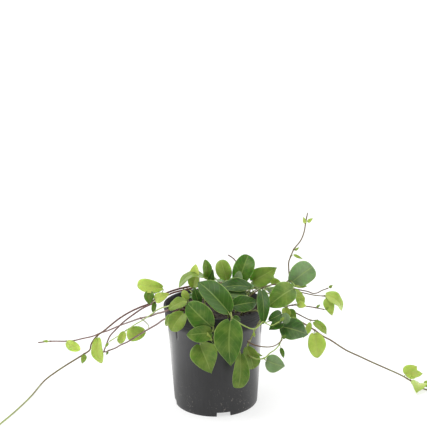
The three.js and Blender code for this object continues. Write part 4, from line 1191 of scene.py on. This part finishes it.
def shoot_body(one):
    """The tube of one shoot, with its age and its swollen nodes."""
    curve, even = smooth_curve(one["route"], SPACING)
    marks = [one["path"][spec["at"] - 1] for spec in one["leaves"]] or [one["route"][-1]]
    nearest = [even[np.linalg.norm(curve - np.array(m, float), axis=1).argmin()] for m in marks]
    radius = stem_radius(even, even[-1], one["radius"], nearest)
    first, last = one["age"]
    ages = first + (last - first) * even / even[-1]
    return closed_tube(tube_rings(curve, radius, STEM_SIDES), age=ages[:, None])


order = 0
for name, shoots in PLANT.items():
    wood, blades = [], []
    for one in shoots:
        wood.append(shoot_body(one))
        for spec in one["leaves"]:
            wood.append(stalk(spec, one["path"][spec["at"] - 1]))
            blades.append(blade(spec, order))
            order += 1
    make_piece(name + "_wood", wood, stem_finish, name)
    make_piece(name + "_leaves", blades, leaf_finish, name)
print("leaves made:", order)

# %% [markdown]
# ## Floor and light
#
# The plant stands on white in a bright, soft room. Most of the light comes from the floor and the
# world and not from many lamps: the world is brightest behind and beside the plant, and the floor
# glows a little, more so beside and behind the pot, where the pot's polished edges mirror it. What
# the camera sees directly is kept plain white. One large lamp from the upper left gives the leaves
# their bright and dark halves, and a weaker one from the right opens the shadows.

# %% Floor
FLOOR_SIZE = 12.0
FLOOR_GLOW = 0.66
FRONT_GLOW = -0.35
SIDE_GLOW = 1.5
BACK_GLOW = 2.3

floor_mesh = bpy.data.meshes.new("floor")
half = FLOOR_SIZE / 2
corners = [(-half, -half, 0), (half, -half, 0), (half, half, 0), (-half, half, 0)]
floor_mesh.from_pydata(corners, [], [(0, 1, 2, 3)])
floor = bpy.data.objects.new("floor", floor_mesh)
bpy.context.scene.collection.objects.link(floor)
floor_finish, tree, shader = new_material("studio_floor", 0.9)
shader.inputs["Base Color"].default_value = (0.30, 0.30, 0.30, 1.0)
shader.inputs["Emission Color"].default_value = (1.0, 1.0, 1.0, 1.0)
x, y, _ = axes_of(tree, "Object")
beside = scaled(tree, ramp(tree, math(tree, "ABSOLUTE", x), 0.16, 0.40), SIDE_GLOW)
behind = scaled(tree, ramp(tree, y, 0.02, 0.16), BACK_GLOW)
unseen = math(tree, "SUBTRACT", 1.0, node(tree, "ShaderNodeLightPath").outputs["Is Camera Ray"])
sides = math(tree, "MULTIPLY", math(tree, "MAXIMUM", beside, behind), unseen)
ahead = scaled(tree, ramp(tree, y, -0.15, -0.4), FRONT_GLOW, FLOOR_GLOW)
tree.links.new(math(tree, "ADD", ahead, sides), shader.inputs["Emission Strength"])
floor_mesh.materials.append(floor_finish)
print("floor:", FLOOR_SIZE, "m wide")

# %% Room light
ABOVE, BEHIND, BESIDE, LEAST = 0.40, 2.0, 1.2, 0.12

world = bpy.data.worlds.new("studio")
bpy.context.scene.world = world
world.use_nodes = True
tree = world.node_tree
background = tree.nodes["Background"]
background.inputs["Color"].default_value = (1.0, 1.0, 1.0, 1.0)
x, y, z = axes_of(tree, "Generated")
above = scaled(tree, ramp(tree, z, -0.1, 0.8), ABOVE)
behind = scaled(tree, ramp(tree, y, -0.6, 0.9), BEHIND)
beside = scaled(tree, ramp(tree, math(tree, "ABSOLUTE", x), 0.45, 0.95), BESIDE, LEAST)
room = math(tree, "ADD", math(tree, "MAXIMUM", above, behind), beside)
seen = node(tree, "ShaderNodeLightPath").outputs["Is Camera Ray"]
tree.links.new(math(tree, "MAXIMUM", room, seen), background.inputs["Strength"])
print("world material:", len(tree.nodes), "nodes")

# %% Lamps
LIT_POINT = (0, 0, 0.15)


def soft_lamp(name, place, aim, size, power):
    """A square area lamp at a place, turned to face a point, with its size in metres."""
    data = bpy.data.lights.new(name, "AREA")
    data.size = size
    data.energy = power
    lamp = bpy.data.objects.new(name, data)
    bpy.context.scene.collection.objects.link(lamp)
    back = np.subtract(place, aim)
    lamp.location = place
    tilt = np.arctan2(np.hypot(back[0], back[1]), back[2])
    lamp.rotation_euler = (tilt, 0, np.arctan2(back[0], -back[1]))


soft_lamp("key", (-0.5, -0.6, 1.9), LIT_POINT, 0.8, 19)
soft_lamp("side", (1.4, 0.3, 1.3), LIT_POINT, 1.2, 5)
bpy.context.scene.view_settings.view_transform = "Standard"
print("lights:", len(bpy.data.lights))
